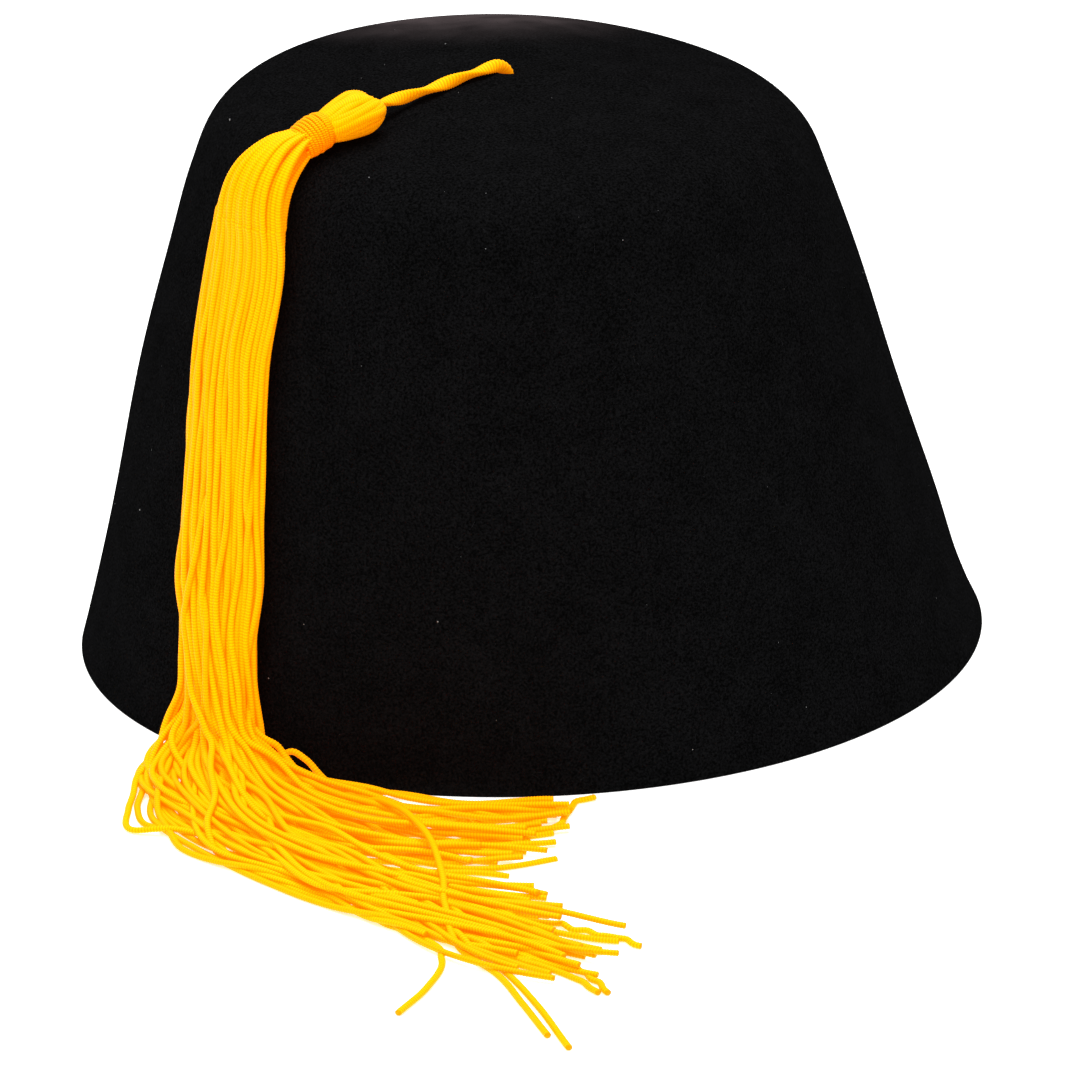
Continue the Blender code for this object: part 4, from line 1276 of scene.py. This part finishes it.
@dataclass
class FeltCrown:
    """The hat itself: one shell of blocked felt, its loose fibres and the dust on it."""

    form: HatForm
    wall: float = 0.0025
    hole_radius: float = 0.0014
    lip_radius: float = 0.0030
    sides: int = 300
    wall_rows: int = 48
    shoulder_rows: int = 26
    dome_rows: int = 26
    fibres: int = 4400
    fibre_radius: float = 0.000022
    fibre_root: float = 0.00005  # how deep a fibre starts in the felt
    fibre_floor: float = 0.00015  # least height over the surface
    fibre_seed: int = 7
    specks: int = 150
    speck_seed: int = 19
    large_speck: tuple[float, float] = (-183.3, 0.1287)  # bearing in degrees, and reach
    large_speck_size: float = 0.00032

    def profile(self) -> tuple[Array, Array]:
        """Line of the shell's section: up the outside to the hole and down the inside to the rim.

        The wall is straight, the shoulder and the dome are arcs, the hole's lip is a quarter round, and the
        rim's edge is rounded over. The second result is how much of the swells each point takes.
        """
        form = self.form
        sides = []
        for inset, end in ((0.0, self.hole_radius + self.lip_radius), (self.wall, self.hole_radius)):
            low = form.foot - form.out * inset
            low = low - form.up * low[1] / form.up[1]
            high = form.shoulder_centre + form.out * (form.shoulder_radius - inset)
            wall = low + (high - low) * np.linspace(0, 1, self.wall_rows)[:, None]
            turn = np.linspace(form.wall_angle, form.dome_angle, self.shoulder_rows)[1:]
            shoulder = form.shoulder_centre + (form.shoulder_radius - inset) * turned(turn)
            stop = math.acos(end / (form.dome_radius - inset))
            turn = np.linspace(form.dome_angle, stop, self.dome_rows)[1:]
            dome = form.dome_centre + (form.dome_radius - inset) * turned(turn)
            sides.append(np.vstack([wall, shoulder, dome]))
        outer, inner = sides
        turn = np.linspace(0, 0.42 * math.pi, 8)[1:]
        depth = min(self.lip_radius, 0.9 * self.wall) / (1 - math.cos(turn[-1]))
        lip = np.column_stack([outer[-1, 0] - self.lip_radius * np.sin(turn) / math.sin(turn[-1]),
                               outer[-1, 1] - depth * (1 - np.cos(turn))])
        edge = 0.5 * MM
        rounded = outer[0] + np.array([[-1.1, 0.0], [-0.55, 0.0], [-0.2, 0.12], [-0.02, 0.55]]) * edge
        inside = inner[0] + np.array([[0.02, 0.55], [0.2, 0.12], [0.55, 0.0], [1.1, 0.0]]) * edge
        line = np.vstack([rounded, outer[2:], lip, inner[:1:-1], inside])
        share = smooth_step(line[:, 0], self.hole_radius + self.lip_radius, 0.03)
        return line, share

    def build(self, material: bpy.types.Material) -> None:
        """Makes the shell: the section's line, moved out by the swells, carried round the oval."""
        line, share = self.profile()
        bearing = circle(self.sides)
        around, height = np.meshgrid(bearing, line[:, 1])
        rise = self.form.swell(around, height) * share[:, None] * np.clip(height / (2 * MM), 0, 1)
        out = unit(np.gradient(line, axis=0))
        out = np.column_stack([out[:, 1], -out[:, 0]])
        inside = np.arange(len(line)) > len(line) // 2
        out[inside] *= -1
        moved = line[:, None] + out[:, None] * rise[..., None]
        points = self.form.placed(moved, around)
        uv = np.zeros((len(line), self.sides + 1, 2))
        surface = grid_surface(points, uv, {})
        closing = self.rim_strip(len(line))
        surface = Surface(surface.points, np.vstack([surface.faces, closing]),
                          np.vstack([surface.uv, np.zeros((len(closing), 4, 2))]), {})
        finish_piece(mesh_object("felt_shell", surface), Slot.FELT, material, "felt_crown")

    def rim_strip(self, rows: int) -> Array:
        """Faces that join the section's last row to its first, across the rim's cut edge."""
        side = np.arange(self.sides)
        after = (side + 1) % self.sides
        last = (rows - 1) * self.sides
        return np.stack([last + side, last + after, after, side], -1)

    def on_felt(self, rng: np.random.Generator, count: int) -> tuple[Array, Array, Array]:
        """Random places on the outside with the outward and the upward direction at each."""
        reach = rng.uniform(0.5 * MM, self.form.apex - 8 * MM, count)
        line, out = self.form.drape_line(reach, np.full(count, 1e-6))
        keep = rng.uniform(0, self.form.rim_radius, count) < line[:, 0]
        bearing = rng.uniform(-math.pi, math.pi, count)[keep]
        line, out = line[keep], out[keep]
        rise = self.form.swell(bearing, line[:, 1])
        place = self.form.placed(line + out * rise[:, None], bearing)
        beyond = self.form.placed(line + out * (rise[:, None] + MM), bearing)
        upward = np.stack([-out[:, 1], out[:, 0]], -1)
        higher = self.form.placed(line + out * rise[:, None] + upward * MM, bearing)
        return place, unit(beyond - place), unit(higher - place)

    def build_fibres(self, material: bpy.types.Material) -> None:
        """Makes short fibres that stand off the felt.

        Each is a parabola: it leaves the felt at a random bearing, runs along it and rises less and less.
        It is a three sided tube, thinnest at its free end.
        """
        rng = np.random.default_rng(self.fibre_seed)
        place, out, up = self.on_felt(rng, self.fibres)
        count = len(place)
        round_out = np.cross(out, up)
        run = spun(rng.uniform(0, 2 * math.pi, count), up, round_out)
        side = np.cross(out, run)
        length = rng.gamma(3.0, 0.32, count)[:, None, None] * MM
        rise = rng.uniform(0.1, 0.75, count)[:, None, None]
        curl = rng.normal(0, 0.35, count)[:, None, None]
        share = np.linspace(0, 1, 4)[None, :, None]
        bent = share - 0.45 * share**2
        line = run[:, None] * share + out[:, None] * rise * bent + side[:, None] * curl * share**2
        spine = place[:, None] + length * line - out[:, None] * self.fibre_root
        spine[..., 2] = np.maximum(spine[..., 2], self.fibre_floor)
        thick = self.fibre_radius * (1 - 0.7 * share)
        rings = spine[:, :, None] + thick[..., None] * spun(circle(3), side[:, None], out[:, None])[:, None]
        finish_piece(mesh_object("loose_fibres", closed_tubes(rings)), Slot.FELT, material)

    def build_specks(self, material: bpy.types.Material) -> None:
        """Makes specks of dust: small flattened six sided balls of three rings, and one larger one."""
        rng = np.random.default_rng(self.speck_seed)
        place, out, up = self.on_felt(rng, self.specks)
        size = rng.gamma(2.0, 0.035, len(place)) * MM
        bearing = np.radians([self.large_speck[0]])
        line, normal = self.form.drape_line(np.array([self.large_speck[1]]), np.array([1e-6]))
        place[0] = self.form.placed(line, bearing)[0]
        out[0] = unit(self.form.placed(line + normal * MM, bearing)[0] - place[0])
        size[0] = self.large_speck_size
        cross = np.cross(out, up)
        level = spun(circle(6), up[:, None, None], cross[:, None, None])
        tilt = np.radians([-60, 0, 60])[:, None, None]
        ball = np.cos(tilt) * level + 0.6 * np.sin(tilt) * out[:, None, None]
        rings = place[:, None, None] + size[:, None, None, None] * ball
        finish_piece(mesh_object("dust_specks", closed_tubes(rings)), Slot.FELT, material)


@dataclass
class Studio:
    """Pale floor, soft lights and the camera at the photo's angle."""

    eye: tuple[float, float, float] = (-0.26489, -0.98859, 0.46315)
    aim: tuple[float, float, float] = (-0.000316, 0.000085, 0.021733)
    frame_pixels: float = 1066
    focal_pixels: float = 5037.1
    sensor_mm: float = 36.0
    floor_half: float = 6.0
    sky: float = 0.42

    def build(self) -> None:
        """Makes the floor, the lights, the sky and the camera."""
        self.build_floor()
        self.build_lights()
        self.build_camera()

    def build_floor(self) -> None:
        """Makes the floor: one square at the height of the rim."""
        half = self.floor_half
        points = np.array([[-half, -half, 0], [half, -half, 0], [half, half, 0], [-half, half, 0]])
        surface = Surface(points, np.array([[0, 1, 2, 3]]), np.zeros((1, 4, 2)), {})
        floor = mesh_object("pale_floor", surface)
        table = Clouded("pale_laminate", "FAFAF8", "F6F6F5", 3.0, 0.9, 0.1, glow=0.46)
        floor.data.materials.append(table.material())

    def build_lights(self) -> None:
        """Adds a white sky and three large soft lights: high on the left, low on the right and above."""
        world = bpy.data.worlds.new("white_sky")
        bpy.context.scene.world = world
        world.use_nodes = True
        background = world.node_tree.nodes["Background"]
        background.inputs["Color"].default_value = (1.0, 1.0, 1.0, 1.0)
        background.inputs["Strength"].default_value = self.sky
        for name, place, size, power in (
            ("key_softbox", (-0.6, -0.7, 1.8), 0.9, 15.0),
            ("fill_softbox", (0.5, -1.4, 1.3), 1.2, 2.5),
            ("top_softbox", (0.1, 0.3, 1.8), 1.2, 30.0),
        ):
            lamp = bpy.data.lights.new(name, "AREA")
            lamp.shape = "DISK"
            lamp.size = size
            lamp.energy = power
            made = bpy.data.objects.new(name, lamp)
            made.location = place
            made.rotation_euler = self.aimed(place, (0.0, 0.0, 0.06))
            bpy.context.scene.collection.objects.link(made)

    def aimed(self, place: tuple[float, float, float], target: tuple[float, float, float]) -> Any:
        """Rotation that turns a light's or camera's -Z from a place to a target, with +Y up."""
        return (Vector(target) - Vector(place)).to_track_quat("-Z", "Y").to_euler()

    def build_camera(self) -> None:
        """Adds the camera, whose lens gives the photo's focal length in pixels on its square frame."""
        lens = bpy.data.cameras.new("photo_camera")
        lens.sensor_width = self.sensor_mm
        lens.sensor_fit = "HORIZONTAL"
        lens.lens = self.sensor_mm * self.focal_pixels / self.frame_pixels
        lens.clip_start = 0.01
        lens.clip_end = 100.0
        camera = bpy.data.objects.new("photo_camera", lens)
        camera.location = self.eye
        camera.rotation_euler = self.aimed(self.eye, self.aim)
        bpy.context.scene.collection.objects.link(camera)
        bpy.context.scene.camera = camera
        bpy.context.scene.view_settings.view_transform = "Standard"


def main() -> None:
    logging.basicConfig(level=logging.INFO, format="%(name)s: %(message)s")
    Studio().build()
    form = HatForm()
    gold = Chainette().material()
    # the binding thread's painted glow is redder, for the deep red-orange of its shaded lower side, and its
    # painted groove shade deeper
    thread = Chainette("gold_binding_thread", crown="FFD400", painted_groove_shade="F07800", painted_glow="FF3A00").material()
    cord = SuspensionCord(form)
    # the cord's deeper painted groove shade makes its ribs show
    cord.build(Chainette("gold_doubled_chainette", crown="FFCE00", painted_groove_shade="F48C00").material())
    cord.dress_knot(thread)
    felt = WoolFelt().material()
    crown = FeltCrown(form)
    crown.build(felt)
    crown.build_fibres(Clouded("clipped_wool", "101012", "3A3A3E", 1250.0, 0.95, 0.05).material())
    crown.build_specks(Clouded("cotton_dust", "101012", "C8C8C8", 1250.0, 0.95, 0.05).material())
    tassel = Tassel(form)
    tassel.build_strands(gold)
    tassel.build_head(gold)
    tassel.build_binding(thread)


if __name__ == "__main__":
    main()
